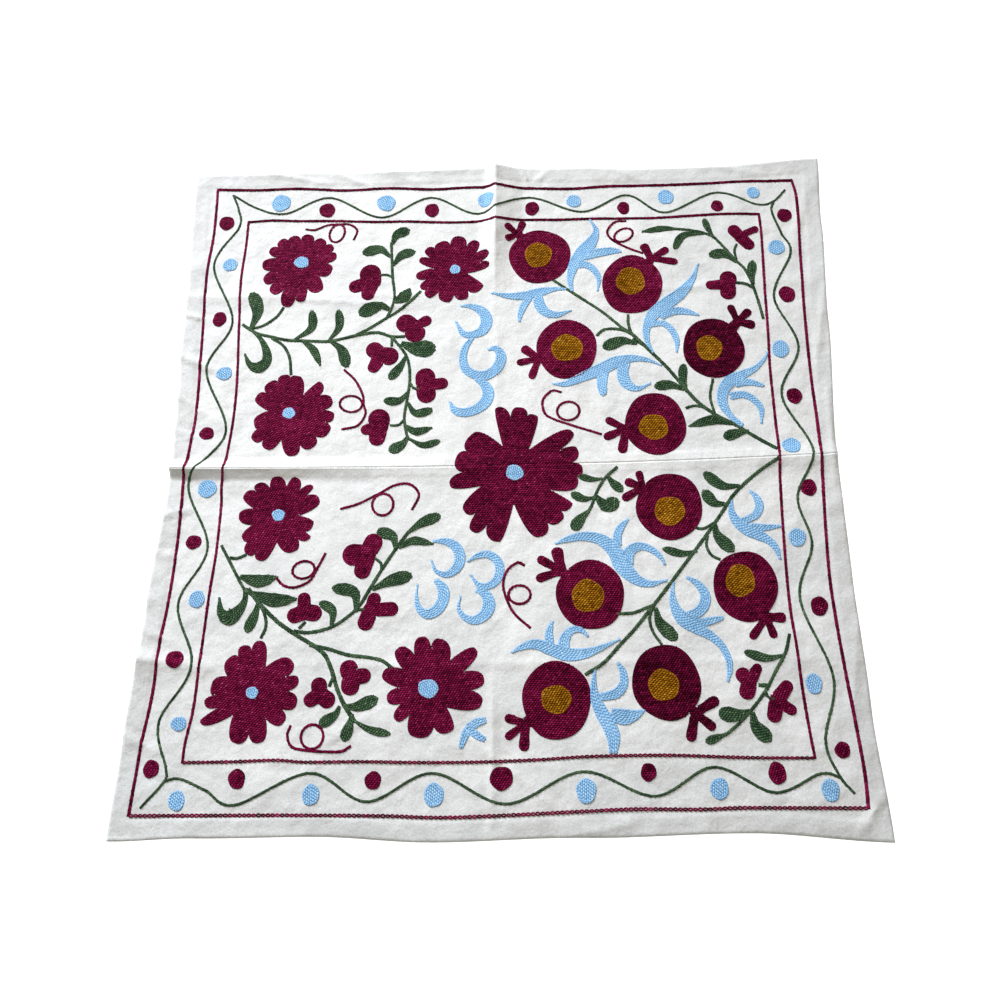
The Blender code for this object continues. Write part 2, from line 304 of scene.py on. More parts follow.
# Buds: middle x and y, and three lobes. Their columns: direction of the tip in degrees, reach, half
# width at the head, half width at the root
BUDS = (
    (-17.8, 27.3, (97, 2.6, 1.48, 1.42), (201, 3.2, 0.95, 0.95), (261, 3, 0.9, 1.3)),
    (-15.9, 16, (140, 2.4, 1.15, 1.1), (243, 2.8, 0.82, 1.1), (350, 2.4, 1.3, 1.2)),
    (-11.6, 20, (147, 2.6, 1.35, 1.2), (286, 2.2, 1.4, 1.2), (32, 2.7, 0.75, 0.6)),
    (33.15, 33.2, (127, 1.9, 0.85, 0.8), (311, 2.6, 0.8, 0.85), (24, 2.9, 0.48, 0.45)),
    (31.15, 25.7, (86, 2, 1.12, 1), (182, 3, 0.65, 0.8), (265, 2.3, 1.03, 1)),
    (-15.75, 5.7, (90, 2.4, 1.42, 1.35), (196, 2.4, 0.7, 1), (265, 2.7, 1.05, 1.3)),
    (-16.4, -11.6, (64, 2.8, 1.15, 1.1), (183, 3.1, 1.38, 1.2), (257, 3.2, 1, 1.2)),
    (-9.8, 11.4, (88, 2.5, 1.32, 1.2), (281, 2.5, 1.25, 1.2), (7, 3.1, 0.78, 0.8)),
    (-15.6, -18.7, (74, 2.2, 0.8, 0.8), (250, 2.6, 0.98, 0.95), (3, 3.4, 0.85, 0.8)),
    (-23.9, -18.9, (95, 2.4, 0.78, 0.85), (201, 2.2, 0.92, 1), (353, 2.2, 1, 1)),
    (-17.7, -26.9, (102, 2.1, 1.1, 1), (273, 2.1, 1.1, 1), (7, 2.5, 0.88, 1)),
    (-21.3, -28.9, (99, 2, 0.95, 0.9), (212, 2.1, 0.82, 0.9), (325, 2.1, 1, 0.9)),
    (30, -27.3, (131, 1.9, 0.88, 0.9), (253, 2.1, 0.92, 0.9), (57, 2.4, 0.55, 0.85)),
    (33, -29.5, (52, 2.8, 0.72, 0.92), (256, 2.5, 0.82, 0.92), (328, 2.5, 0.6, 0.7)),
)

# Pomegranates: x, y, half width and half height of the fruit, then of its heart, where the crown joins,
# and the crown's three points (x, y, half width)
POMEGRANATES = (
    ((5.65, 30.7, 4.2, 4.2), (5.45, 30.9, 1.85, 2), (2.6, 34.3), (3.4, 36.3, 0.42), (0.9, 35.7, 0.4),
     (0.9, 33.5, 0.4)),
    ((18.2, 26, 4.1, 4.4), (18, 26.45, 2, 2.05), (20.95, 29.95), (19.9, 32.2, 0.5), (23.3, 31.4, 0.42),
     (24.5, 29.3, 0.42)),
    ((28.55, 16.2, 4, 4.3), (28, 16.2, 1.75, 1.8), (32, 20), (31.1, 22.5, 0.4), (33.7, 21.7, 0.45),
     (34.2, 19.4, 0.5)),
    ((9.15, 16.5, 3.95, 4.4), (9.2, 16.6, 2.1, 2), (5.4, 15.1), (3.2, 16.8, 0.5), (2.5, 14.5, 0.4),
     (4.35, 12.2, 0.42)),
    ((20.45, 5.55, 3.9, 4.3), (20.2, 5.1, 1.9, 1.75), (16.6, 4.9), (14.1, 6.3, 0.42), (13.8, 3.7, 0.45),
     (16, 1.6, 0.5)),
    ((21.7, -5.6, 4.1, 4.35), (21.7, -6.2, 1.95, 1.85), (18.5, -3.05), (18, -0.9, 0.38),
     (16.3, -2.2, 0.45), (15.9, -4.6, 0.45)),
    ((11.5, -16.8, 4.1, 4.35), (11.2, -17, 2.05, 2), (8, -13.85), (7.4, -10.9, 0.6), (5.1, -12.2, 0.45),
     (4.9, -14.9, 0.45)),
    ((30.4, -15.8, 3.9, 4.3), (29.8, -15.15, 1.8, 2), (32.6, -19.6), (34.9, -19.7, 0.5),
     (33.4, -22.1, 0.4), (30.6, -22.2, 0.4)),
    ((7.2, -29.45, 4.1, 4.5), (7.15, -29.4, 1.85, 1.65), (3.5, -32.2), (1.1, -31.5, 0.42),
     (1.2, -33.9, 0.38), (3.3, -35.3, 0.5)),
    ((20.25, -27.4, 4.05, 4.4), (19.9, -27.7, 1.8, 1.9), (23.4, -30.9), (26.2, -29.3, 0.5),
     (25.6, -32.7, 0.45), (22.7, -34.1, 0.5)),
)

# Leaves: x and y of three places along the middle, from stalk to end, and the half width
LEAVES = (
    (-34.1, 20.2, -33.4, 23, -34.4, 25.8, 0.95), (-27.9, 18.5, -25.7, 20.3, -25.8, 22.9, 0.62),
    (-23.2, 18.3, -21.9, 20.4, -22.1, 22.9, 0.6), (-26.8, 18.3, -25.2, 16.9, -24.1, 14.6, 0.55),
    (-22.9, 18.2, -21.3, 16.8, -20.5, 14.3, 0.8), (-15.3, 31.1, -16.8, 32.3, -19.2, 31.8, 0.8),
    (-15.1, 22.9, -16.5, 23.4, -19.2, 22.3, 0.98), (-15.05, 33.1, -14.4, 34.6, -12.8, 35.3, 0.8),
    (-14.8, 29.7, -13.6, 31.3, -11.9, 31.8, 0.72), (-14.4, 23.9, -13, 24.8, -12.3, 26, 0.85),
    (-13.2, 17.7, -11.2, 16.9, -8.6, 16.8, 1.25), (-12.5, 15.8, -13.2, 14.3, -14.6, 12.4, 0.65),
    (-12, 10.5, -13.2, 9.3, -15.2, 9.3, 0.6), (-12, 9, -10.9, 7.5, -8.7, 7.9, 0.6),
    (-12.3, 5.8, -10.8, 4.9, -8.7, 5.4, 0.55), (-11.8, 4.2, -12.6, 3.1, -14.2, 2.2, 0.75),
    (-11.7, 3.9, -9.8, 3, -7.6, 3.5, 0.5), (24.7, 34.5, 22.6, 34.6, 19.9, 34.2, 0.5),
    (28.4, 33.7, 25.5, 33.4, 24.2, 31.3, 0.55), (29.7, 33, 29, 34.4, 28.5, 36, 0.45),
    (32.5, 29.1, 30.9, 30.4, 28.9, 30.3, 0.75), (34.5, 25.7, 34.4, 27.3, 34.7, 29.2, 0.62),
    (18.5, 17.1, 16.5, 17.5, 14, 16.6, 0.85), (24.7, 10, 24.3, 12, 24.5, 13.9, 0.6),
    (24.4, 10.3, 22.6, 11, 20.6, 10.8, 0.7), (30.6, 5.4, 28, 6, 24.8, 5.2, 0.68),
    (32.3, 4.4, 30.7, 4.1, 29.1, 3.6, 0.72), (30.6, -3, 28.4, -2.9, 26.3, -1.2, 0.72),
    (28.7, -5.4, 27.2, -5.1, 26.1, -3.6, 0.75), (27.2, -7.9, 27.5, -9.5, 29.2, -11.4, 0.82),
    (24.8, -11.4, 22.9, -11.7, 20.7, -11.1, 0.52), (13.4, -1.9, 11.9, -1.9, 10.3, -1.4, 0.45),
    (14, -1.4, 14.7, -2.4, 15.9, -3.5, 0.6), (12.2, -4.4, 10.9, -4.5, 9.4, -3.8, 0.55),
    (12.4, -4.1, 13.8, -5.4, 15.3, -4.7, 0.92), (11.6, -6.1, 10.5, -7.2, 9.5, -8.6, 0.75),
    (-32.4, -14.4, -30, -15, -27.7, -14.5, 0.82), (-29.8, -17.6, -30.1, -19.2, -31, -21.4, 0.68),
    (-30.7, -16.5, -28, -17.4, -25, -17.3, 0.88), (-17.4, -18.9, -17.8, -16.5, -20.5, -15.9, 0.78),
    (-20.4, -20.8, -20.4, -18.8, -22, -17.7, 0.62), (-12.8, -10.9, -13.3, -9.3, -15.2, -8.6, 0.75),
    (-11.3, -8.8, -9.5, -7.5, -7.3, -6.6, 0.72), (-12.4, -10.8, -10.6, -9.9, -8.1, -10.3, 0.55),
    (-15.5, -16.1, -13.2, -15, -10.7, -14.3, 0.85), (-18.8, -30.3, -19.3, -31.3, -21.1, -32.5, 0.68),
    (-17.2, -31.2, -17.5, -32.6, -18.1, -34.3, 0.68), (-18.3, -30.3, -16.6, -30.3, -14.3, -29.4, 0.8),
    (-16.9, -32, -15, -33, -12.6, -33.5, 0.48), (34.3, -24.2, 32.2, -24.5, 29.7, -23.8, 0.55),
    (29.9, -30.7, 28.2, -31.1, 26.2, -30.9, 0.88), (30.1, -30.8, 30.4, -32.4, 31.9, -34, 0.88),
    (26.9, -33.3, 25.8, -33.7, 24.5, -34.2, 0.48), (19.4, -18.5, 19.9, -20.4, 21.7, -22.3, 0.82),
)
# The leaves that end in a point, by their place in the table
POINTED_LEAVES = (3, 9, 14, 17, 25, 36, 38, 43)

# Two hooked leaves. Columns: x, y, half width
HOOKED_LEAVES = (
    (-34.1, 20.1, 0.1, -32.5, 18.5, 0.3, -31.6, 16.6, 0.55, -31.6, 15.2, 0.7, -32.6, 14.4, 0.78,
     -33.8, 14.9, 0.4, -34.6, 16.4, 0.08),
    (-31.6, -15.9, 0.25, -31.55, -17.4, 0.35, -32.2, -18.7, 0.65, -33.3, -19.6, 0.95, -34.4, -18.9, 0.5,
     -34.8, -17.1, 0.06),
)

# Blue scrolls: each run is a blade that swells and tapers. Columns: x, y, half width
SCROLLS = {
    "scroll_1": (
        (10, 25.1, 0.2, 9.8, 27, 0.4, 10.4, 29.3, 0.75, 11.7, 31.3, 1, 12.9, 32.9, 0.75,
         13.5, 34.6, 0.35, 12.7, 36.4, 0.06),
        (11.4, 30.6, 0.8, 13.9, 31.1, 0.65, 15.7, 31.3, 0.5, 16.9, 31.1, 0.1),
        (10.4, 29, 0.4, 11.9, 29.2, 0.5, 13.1, 28.3, 0.45, 13.7, 26.9, 0.3, 13.5, 25.1, 0.06),
    ),
    "scroll_2": (
        (9.3, 25.5, 0.15, 7.6, 25.5, 0.3, 5.6, 25.1, 0.65, 3.3, 24.6, 0.6, 1.2, 24.6, 0.4,
         -0.9, 25, 0.06),
        (4.3, 24.6, 0.5, 3.6, 23.4, 0.48, 3, 22, 0.4, 2.8, 20.6, 0.1),
        (5.3, 24.7, 0.6, 5.6, 23.1, 0.72, 6.4, 22, 0.62, 7.9, 21.6, 0.42, 9.8, 22.2, 0.06),
    ),
    "scroll_3": (
        (20.6, 15.6, 0.15, 19.9, 17.4, 0.32, 19.9, 19.3, 0.5, 20.8, 21.3, 0.8, 22.6, 22.9, 0.9,
         24.8, 24.6, 0.75, 26.4, 26.7, 0.38, 27.3, 28.9, 0.05),
        (21.9, 21.2, 0.6, 23.6, 21.8, 0.55, 25.2, 21.7, 0.45, 26.9, 21.1, 0.1),
        (20.7, 19.9, 0.35, 22.1, 20, 0.42, 23.2, 19, 0.42, 23.8, 17.4, 0.35, 23.7, 15.7, 0.06),
    ),
    "scroll_4": (
        (7.2, 11.4, 0.05, 9, 11.4, 0.4, 11.5, 12.5, 0.7, 13.6, 13.4, 0.85, 15.6, 14.4, 0.8,
         17.9, 14.9, 0.48, 19.9, 14.6, 0.25, 21.6, 13.8, 0.05),
        (13.9, 12.9, 0.7, 13.7, 11.4, 0.65, 13.8, 10.2, 0.5, 13.8, 9.7, 0.3),
        (16.9, 14.3, 0.6, 16.5, 13.1, 0.72, 16.7, 11.7, 0.75, 17.5, 10.8, 0.55, 18.6, 10.6, 0.3,
         20.1, 11.3, 0.05),
    ),
    "scroll_5": (
        (35.6, 15.5, 0.08, 35, 14.4, 0.2, 33.8, 13.2, 0.35, 32.1, 12.3, 0.6, 30.4, 11.4, 0.78,
         29.4, 9.9, 0.7, 29.3, 8.2, 0.6, 30.2, 6.5, 0.38, 31.5, 5.2, 0.3),
        (31.1, 11.1, 0.55, 32.9, 11.2, 0.45, 34.6, 10.7, 0.2),
        (30.4, 9.3, 0.5, 32, 9.45, 0.45, 33.3, 8.7, 0.42, 34.1, 7.4, 0.35, 34, 5.5, 0.06),
    ),
    "scroll_6": (
        (29.5, -4.9, 0.08, 29.35, -6.3, 0.38, 29.9, -7.6, 0.6, 31, -8.6, 0.75, 32.3, -9.3, 0.68,
         33.5, -10, 0.48, 34.4, -11, 0.38, 34.85, -12.5, 0.1),
        (31.6, -8.4, 0.5, 33.3, -8.45, 0.42, 35.2, -8.3, 0.12),
        (31.9, -3.7, 0.1, 32.6, -4.6, 0.4, 32.85, -5.7, 0.5, 32.3, -6.8, 0.48, 31.2, -7.4, 0.42,
         30.4, -7.6, 0.35),
    ),
    "scroll_7": (
        (7.3, -10.4, 0.05, 9, -9.75, 0.4, 11, -9.45, 0.55, 13, -9.9, 0.72, 14.6, -11.3, 0.9,
         15.6, -13.3, 1, 17.1, -14.9, 0.68, 18.8, -15.5, 0.4, 20.9, -15.1, 0.06),
        (15, -10.6, 0.5, 15.1, -9.2, 0.5, 15.6, -8.2, 0.42, 16.5, -7.2, 0.08),
        (16.2, -13, 0.7, 16.3, -11.8, 0.7, 17.1, -10.95, 0.58, 18.3, -10.8, 0.45, 19.5, -11.4, 0.38,
         20.3, -12.2, 0.25, 20.75, -13.1, 0.06),
    ),
    "scroll_8": (
        (21.7, -15.4, 0.08, 21.5, -17, 0.32, 21.8, -18.6, 0.6, 22.7, -19.9, 0.82, 24.2, -20.9, 0.72,
         25.7, -21.8, 0.52, 27, -23, 0.42, 27.7, -24.5, 0.38, 27.8, -25.9, 0.3, 27.5, -27.2, 0.1),
        (24.2, -20.4, 0.5, 25.8, -20.1, 0.45, 27.4, -19.7, 0.2),
        (23.4, -14.7, 0.12, 24.7, -15.6, 0.42, 25.45, -16.9, 0.58, 25.2, -18.2, 0.62, 24.3, -19.1, 0.6,
         23.2, -19.5, 0.5),
    ),
    "scroll_9": (
        (1.85, -23.9, 0.06, 3.2, -23.2, 0.38, 4.8, -22.9, 0.58, 6.6, -23.5, 0.72, 8.5, -24.1, 0.78,
         10.4, -24.05, 0.62, 12.2, -23.5, 0.38, 14.9, -22.3, 0.05),
        (6.5, -23, 0.5, 6.4, -21.6, 0.45, 6.8, -20.1, 0.1),
        (8.1, -23.3, 0.7, 8.3, -22.2, 0.6, 9, -21.3, 0.45, 10.1, -21.1, 0.35, 11.1, -21.9, 0.1),
    ),
    "scroll_10": (
        (11.85, -25.9, 0.08, 11.65, -27.6, 0.32, 11.8, -29.3, 0.58, 12.5, -30.9, 0.75,
         13.3, -32.3, 0.82, 13.8, -33.8, 0.75, 13.7, -35.5, 0.4),
        (13.6, -31, 0.6, 15, -31.4, 0.9, 16.3, -31.2, 0.6, 17.4, -30.7, 0.12),
        (14.6, -25.1, 0.15, 15.15, -26.2, 0.38, 15.2, -27.5, 0.5, 14.4, -28.6, 0.55, 13.2, -29, 0.48,
         12.5, -29.1, 0.4),
    ),
    "crescents_upper": (
        (-5.2, 23.15, 0.08, -3.5, 23, 0.42, -2.1, 22.1, 0.68, -1.65, 20.7, 0.78, -2.2, 19.4, 0.7,
         -3.5, 18.8, 0.5, -4.8, 19, 0.4, -5.8, 20.7, 0.06),
        (-1.4, 16.5, 0.1, -0.3, 16.6, 0.42, 0.35, 15.4, 0.68, -0.2, 13.8, 0.7, -1.6, 12.8, 0.68,
         -3.2, 12.9, 0.6, -4.4, 13.8, 0.58, -4.75, 15.4, 0.5, -4.4, 17, 0.42, -3.5, 18.3, 0.2),
        (-3.1, 12.3, 0.2, -1.9, 11.5, 0.58, -1.3, 10.2, 0.75, -1.7, 8.9, 0.75, -2.9, 7.9, 0.65,
         -4.4, 7.45, 0.6, -5.7, 7.8, 0.48, -6.4, 9, 0.06),
    ),
    "crescents_lower_left": (
        (-8.1, -9.95, 0.1, -6.5, -10, 0.42, -5.2, -10.7, 0.6, -4.65, -12, 0.66, -5, -13.3, 0.6,
         -6.2, -14.2, 0.4, -7.6, -13.8, 0.22, -8.25, -12.4, 0.05),
        (-7.6, -14.9, 0.25, -6.7, -16.1, 0.66, -6.65, -17.4, 0.7, -7.4, -18.7, 0.66, -8.6, -19.2, 0.55,
         -9.6, -18.5, 0.38, -9.95, -17.1, 0.18, -9.9, -15.5, 0.05),
    ),
    "crescents_lower_right": (
        (-3.7, -12.6, 0.06, -2.5, -11.9, 0.32, -1.2, -11.7, 0.46, -0.05, -12.4, 0.52, 0.35, -13.6, 0.54,
         0, -14.9, 0.52, -1.1, -15.7, 0.42, -2.3, -15.5, 0.28, -3.3, -14.3, 0.05),
        (-2.5, -16.1, 0.3, -1.35, -16.8, 0.58, -0.95, -18.1, 0.76, -1.5, -19.3, 0.68,
         -2.7, -19.95, 0.52, -3.9, -19.6, 0.36, -4.7, -18.5, 0.2, -4.5, -17, 0.05),
    ),
    "small_sprig": (
        (-3.3, -33, 0.45, -2.4, -32.2, 0.5, -1.2, -31.8, 0.3),
        (-3.2, -32.9, 0.4, -2.2, -33.6, 0.42, -1.3, -34.1, 0.25),
        (-3, -32.4, 0.4, -3.6, -33.5, 0.45, -4.1, -34.9, 0.25),
    ),
}

# Stems: half width of the chain, then x and y of the run's places
STEMS = {
    "stems_upper_left": (
        (0.22, -35.3, 20.9, -34.2, 20.1, -32.9, 19.4, -31.1, 18.95, -29, 18.45, -26.5, 18.3,
         -23.5, 18.2, -21.3, 18.6, -18.6, 19.2, -16.5, 19.4, -14.6, 18.75, -12.8, 18.7),
        (0.2, -34, 20.2, -32.3, 20.75, -30.7, 22, -29.8, 23.4),
        (0.22, -19.8, 18.9, -17.8, 20, -15.5, 21.5, -13.7, 22.7, -12.2, 24, -10.8, 25.5),
        (0.2, -15.4, 21.6, -14.7, 23.2, -14.4, 24.9, -14.8, 27.9, -15, 30.5, -15.2, 33.3),
        (0.17, -14.8, 27.8, -15.6, 28.2, -16.7, 28.2),
        (0.2, -31, 18.7, -29.4, 17.6, -28.4, 15.8, -28, 13.3),
        (0.2, -14.5, 18.6, -13.3, 17.1, -12.5, 15.9, -12, 14.3, -11.85, 12, -12.1, 9.5, -12.4, 6.9,
         -12.1, 5, -11.8, 3.8),
        (0.2, -14.5, 18.7, -14.5, 17.3),
        (0.18, -11.85, 11.9, -11.3, 11.1, -10.5, 10.9),
        (0.18, -12.4, 6.6, -13.1, 5.9, -14.2, 5.8),
    ),
    "stems_right": (
        (0.2, 7.5, 26.9, 9.9, 25, 11.7, 23.7, 13.7, 22.2, 15.7, 20.4, 16.9, 19.2, 18, 18.4),
        (0.2, 13.2, 18.4, 14.2, 19.25, 15.7, 19.35, 17.2, 18.9, 18.2, 18.2),
        (0.2, 17.5, 21.4, 17.5, 20, 17.9, 18.6, 18.9, 17.4),
        (0.24, 16.6, 19.5, 18.2, 18.2, 20.6, 15.5, 22.4, 13.4, 24.2, 10.9, 26.1, 8.5, 28.4, 6.6,
         30.5, 5.4, 32.9, 3.7, 35.6, 1.95),
        (0.22, 18, 17.7, 19.4, 16.8, 20.6, 15.5),
        (0.18, 28.2, 11.7, 27.7, 9.3, 28.1, 7),
        (0.2, 24.5, 7.7, 25.6, 8, 26.7, 7.8),
        (0.2, 35.4, 20.4, 35, 22.8, 34.4, 25.5, 33.6, 27.9, 32.4, 29.4, 30.9, 31.5, 29.6, 33.1,
         28, 33.9, 26.3, 34.3, 24.6, 34.5),
        (0.17, 32.7, 31.9, 32.35, 30.9, 32.5, 29.6),
        (0.22, 32.2, 25.9, 33.4, 25.7, 34.4, 25.1),
        (0.22, 35.8, 0.7, 33, -1.2, 30, -3.9, 28, -6.7, 26.1, -9.3, 23.7, -12.4, 21.2, -15.6,
         19.2, -18.1, 16.8, -21, 14.8, -23.1, 12.9, -25.1, 10.7, -26.5),
        (0.18, 24.7, -8.4, 25.8, -8.5, 27.1, -7.8),
        (0.18, 26.2, -9.5, 26, -10.7, 26.5, -11.9, 27.5, -12.5),
        (0.2, 14.6, -19.2, 16.6, -19.1, 18.2, -18.5, 19.3, -18.1),
        (0.18, 19.1, -18.4, 18.6, -19.7, 18.9, -21.3, 19.9, -22.9),
        (0.2, 35.15, -21.7, 34.5, -23.8, 33.2, -26, 31.9, -28.2, 30.2, -30.3, 28.4, -32.1, 26.8, -33.4),
        (0.24, 31.1, -27.7, 32.1, -27.7),
        (0.17, 31.8, -28.3, 32, -29, 32.8, -29.3),
        (0.2, 15.3, -0.35, 13.9, -1.6, 13, -2.9, 12.4, -4.2, 12, -5.3, 11.4, -6.4),
    ),
    "stems_lower_left": (
        (0.2, -35.2, -10.4, -34.1, -12.2, -32.9, -14.2, -31.8, -15.9, -30.5, -16.9),
        (0.26, -31.2, -16, -29.6, -17.9, -27.2, -20.1, -24.8, -21.7, -22.4, -23.1, -21, -24.2,
         -20.1, -25.9, -19.2, -28.3, -18.2, -30.2, -16.9, -32),
        (0.2, -33.9, -12, -33, -12.05, -31.9, -11.6),
        (0.2, -29.6, -17.9, -28.8, -19.4, -28.6, -20.8, -29.1, -22.1),
        (0.22, -22.9, -23, -20.5, -23.5, -18.1, -24.2, -15.6, -24.5, -13.9, -24.9, -12.6, -25.8),
        (0.22, -25, -21.3, -23, -21.45, -20.4, -20.8, -18.3, -19.4, -17, -18.1, -15.9, -16.2,
         -14.5, -13.7, -12.9, -11.1, -11.3, -8.8),
        (0.2, -24.4, -20.9, -23.7, -20.2),
        (0.18, -17.5, -18.7, -16.3, -18.6),
        (0.18, -14.5, -13.6, -14.6, -12.8, -15.3, -12.2),
        (0.2, -19.8, -26.8, -20.2, -27.9),
    ),
}

# Curls: x and y of the run's places, then the loop's middle, half width, half height and lean in degrees
CURLS = (
    ((-27.6, 35.9, -26.3, 35.8, -24.5, 36.5, -22.8, 36.6, -21.3, 36.5, -20.2, 35.5, -20.6, 34),
     (-23.05, 35.15, 1.05, 1.45, -14)),
    ((17.7, 36, 16.2, 35.9, 15.1, 34.5, 15.6, 33.2, 17.6, 31.8, 19.8, 30.8),
     (17.3, 33.75, 1.35, 0.95, 28)),
    ((-20.8, 13.9, -19.2, 12.3, -18.1, 10.2, -17.9, 8.8, -17.6, 7.4, -18.6, 5.8, -20.6, 5.3),
     (-19.6, 8.9, 1.5, 1.15, -8)),
    ((8.3, 10.2, 7.1, 10.4, 5.9, 9.1, 6.1, 7.3, 7.2, 6.4, 9.6, 5.5, 13.4, 4.2),
     (9.2, 7.5, 1.45, 1.3, 10)),
    ((-21.7, -11.5, -22.6, -13.4, -23.5, -15, -25.2, -15.8, -26.7, -15.6, -27.8, -14.6),
     (-24.35, -13.6, 1.4, 1.1, 10)),
    ((-20.1, -5.65, -17.9, -5, -15.4, -3.7, -13.2, -2.5, -11.3, -2.4, -10.1, -3.8, -10.9, -5.8),
     (-14.7, -5.1, 1.35, 1.45, 0)),
    ((3.4, -13.1, 2.5, -12.8, 1.2, -13.9, 0.8, -15.8, 1.5, -18, 2.4, -19.4, 4.1, -20.9),
     (2.8, -16.8, 1.35, 1.15, 0)),
    ((-24.6, -32.6, -24.9, -33.7, -24.3, -35, -22.6, -35.4, -20.3, -35.55, -18.3, -35.5, -17.2, -34.9),
     (-21.9, -33.85, 1.35, 1.4, 0)),
)

# How wide a leaf is along its length, as shares of its half width. Columns: share of length, width
LEAF_PROFILES = {
    "round": ((0.0, 0.25), (0.25, 0.5), (0.5, 0.85), (0.72, 1.0), (0.9, 0.78), (1.0, 0.25)),
    "neck": ((0.0, 1.1), (0.6, 0.9), (1.0, 0.8)),
    "pointed": ((0.0, 0.25), (0.25, 0.72), (0.5, 1.0), (0.78, 0.75), (1.0, 0.1)),
    "crown": ((0.0, 1.1), (0.4, 1.0), (0.7, 1.2), (0.88, 1.15), (0.96, 0.8), (1.0, 0.4)),
}

# The border lines' sides from the top, clockwise: share of the half width, tone, and whether the chain
# was worked loosely, so that its links stand open
LINE_SIDES = (
    (1.0, -0.14, False),
    (0.86, 0.02, False),
    (1.04, -0.10, True),
    (0.86, 0.02, False),
)
# How far a petal's side keeps straight from its cleft, and how blunt its tip is
PETAL_FULLNESS = (0.5, 0.8)
# Pomegranates that were worked in a darker thread
DARK_TONES = {3: -0.22, 5: -0.07, 6: -0.08, 7: -0.05, 8: -0.09, 9: -0.05, 10: -0.22}

# Half width of the neck between a pomegranate and its crown, in centimetres
NECK_HALF_WIDTH = 0.7

# Stitch sizes, in metres
ROW_SPACING = 0.0025
FILL_STITCH = 0.0036
SCROLL_STITCH = 0.0042
EDGE_STITCH = 0.0034
EDGE_INSET = 0.0008
CORE_INSET = 0.0016
LINK_LENGTH = 0.0056
STEM_LINK = 0.0048
CURL_LINK = 0.0046
LINK_THREAD = 0.00095
OUTER_HALF_WIDTH = 0.0023
INNER_HALF_WIDTH = 0.0021
VINE_HALF_WIDTH = 0.0016
CURL_HALF_WIDTH = 0.0017
THINNEST_BLADE = 0.0002
THINNEST_STITCH = 0.0004
THINNEST_LINK = 0.0001
BASE_CLEARANCE = 0.0001
OVERLAY_CLEARANCE = 0.0005

# Steps of the runs that stitches follow, in metres
LEAF_STEP = 0.0008
SCROLL_STEP = 0.001
LINE_STEP = 0.002
OUTLINE_STEP = 0.001
# The cloth's slope is taken over this step, and stitches lean no more than the steepest one.
SLOPE_STEP = 0.0005
STEEPEST = 1.5

# Points round a fruit and its heart, round dots, eyes and lobes, round a curl's loop, and along half a
# petal, and the share of each side that is cut off at a petal ring's corners
RING_POINTS = 48
SMALL_RING_POINTS = 24
LOOP_POINTS = 36
PETAL_SIDE_POINTS = 8
CORNER_CUT = 0.25

# In stitch lengths: the shortest row, the least room from a row's end to a cut, half an edge stitch,
# half a link, and the shortest stitch inside a bend
SHORTEST_ROW = 0.4
END_ROOM = 0.35
EDGE_REACH = 0.54
LINK_REACH = 0.6
SHORTEST_BEND = 0.3
# In edge insets: an edge stitch's half width, and how far filling stitches keep from a bare edge
EDGE_WIDTH = 1.15
EDGE_ROOM = 1.25
# In row spacings: what a blade needs for one more row, and a stitch for its place in that row
SPARE_ROW = 0.25
SPARE_WIDTH = 0.12
# The bed under a chain, as a share of the chain's width
BED_WIDTH = 0.8

# A form worked over another leaves a hole this share of its size in it, and a hole outweighs outlines.
HEART_HOLE = 0.88
EYE_HOLE = 0.748
HOLE_WEIGHT = 9
# An eye's height to its width, and where a neck starts and ends between the middle and the crown's joint
EYE_HEIGHT = 0.92
NECK_ENDS = (0.7, 1.05)
# A run's direction is taken over this share of a step either way, and it turns a corner where the
# cosine of the turn is less than the other.
DIRECTION_REACH = 0.45
CORNER_COSINE = 0.5

# Slants of the stitches, and how far each lies out of line
SLANT = math.radians(21.0)
EDGE_SLANT = SLANT * 0.4
FILL_TILT = 0.06
BLADE_TILT = 0.07
LINK_TILT = 0.05
ROW_SHIFT = 0.08
BLADE_SHIFT = 0.1
ROW_DRIFT = 0.00012
LINK_WIDTHS = (0.92, 1.08)

# Tones: the edge stitches' own, and how far threads, rows, edges and links differ
EDGE_TONE = -0.1
EYE_EDGE_TONE = 0.05
HEART_EDGE_TONE = -0.05
TONE_SPREAD = 0.12
ROW_TONE_SPREAD = 0.035
BLADE_TONE_SPREAD = 0.03
EDGE_TONE_SPREAD = 0.1
LINK_TONE_SPREAD = 0.11

# The dots' rows in degrees, and how far the rows of each kind of motif turn from level either way
BLUE_DEGREES = 86.0
BURGUNDY_DEGREES = 4.0
EYE_DEGREES = 80.0
DOT_TURN = 14.0
BUD_TURN = 12.0
FRUIT_TURN = 8.0
HEART_TURN = 15.0

# How uneven an oval worked by hand is, and how many waves of it run round
WOBBLE_WAVES = (2, 3, 5)
DOT_WOBBLE = 0.025
EYE_WOBBLE = 0.03
FRUIT_WOBBLE = 0.012
HEART_WOBBLE = 0.022

FLOOR_HALF_SIDE = 40.0
FLOOR_DROP = 0.0005

# The camera at the photograph's place: its right, up and back directions and its place, in metres
CAMERA_AXES = ((0.99881, 0.00592, -0.04831), (0.00795, 0.95941, 0.28191), (0.04802, -0.28196, 0.95822))
CAMERA_PLACE = (0.0572, -0.3506, 1.0408)
SENSOR_WIDTH = 36.0
LENS = 30.6
CLIP_START = 0.05

SKY_COLOUR = (1.0, 0.945, 0.80, 1.0)
SKY_STRENGTH = 0.20
# Columns: name, place, the place it is turned to, size, spread of its beam in degrees, power, colour
LIGHTS = (
    ("window", (-2.4, 3.9, 2.05), (-0.56, 0.08, 0.0), 1.3, 70.0, 66.0, (0.895, 0.93, 1.0)),
    ("overhead", (-0.08, 0.16, 1.6), (0.02, 0.15, 0.0), 0.8, 76.0, 1.5, (1.0, 0.975, 0.95)),
)

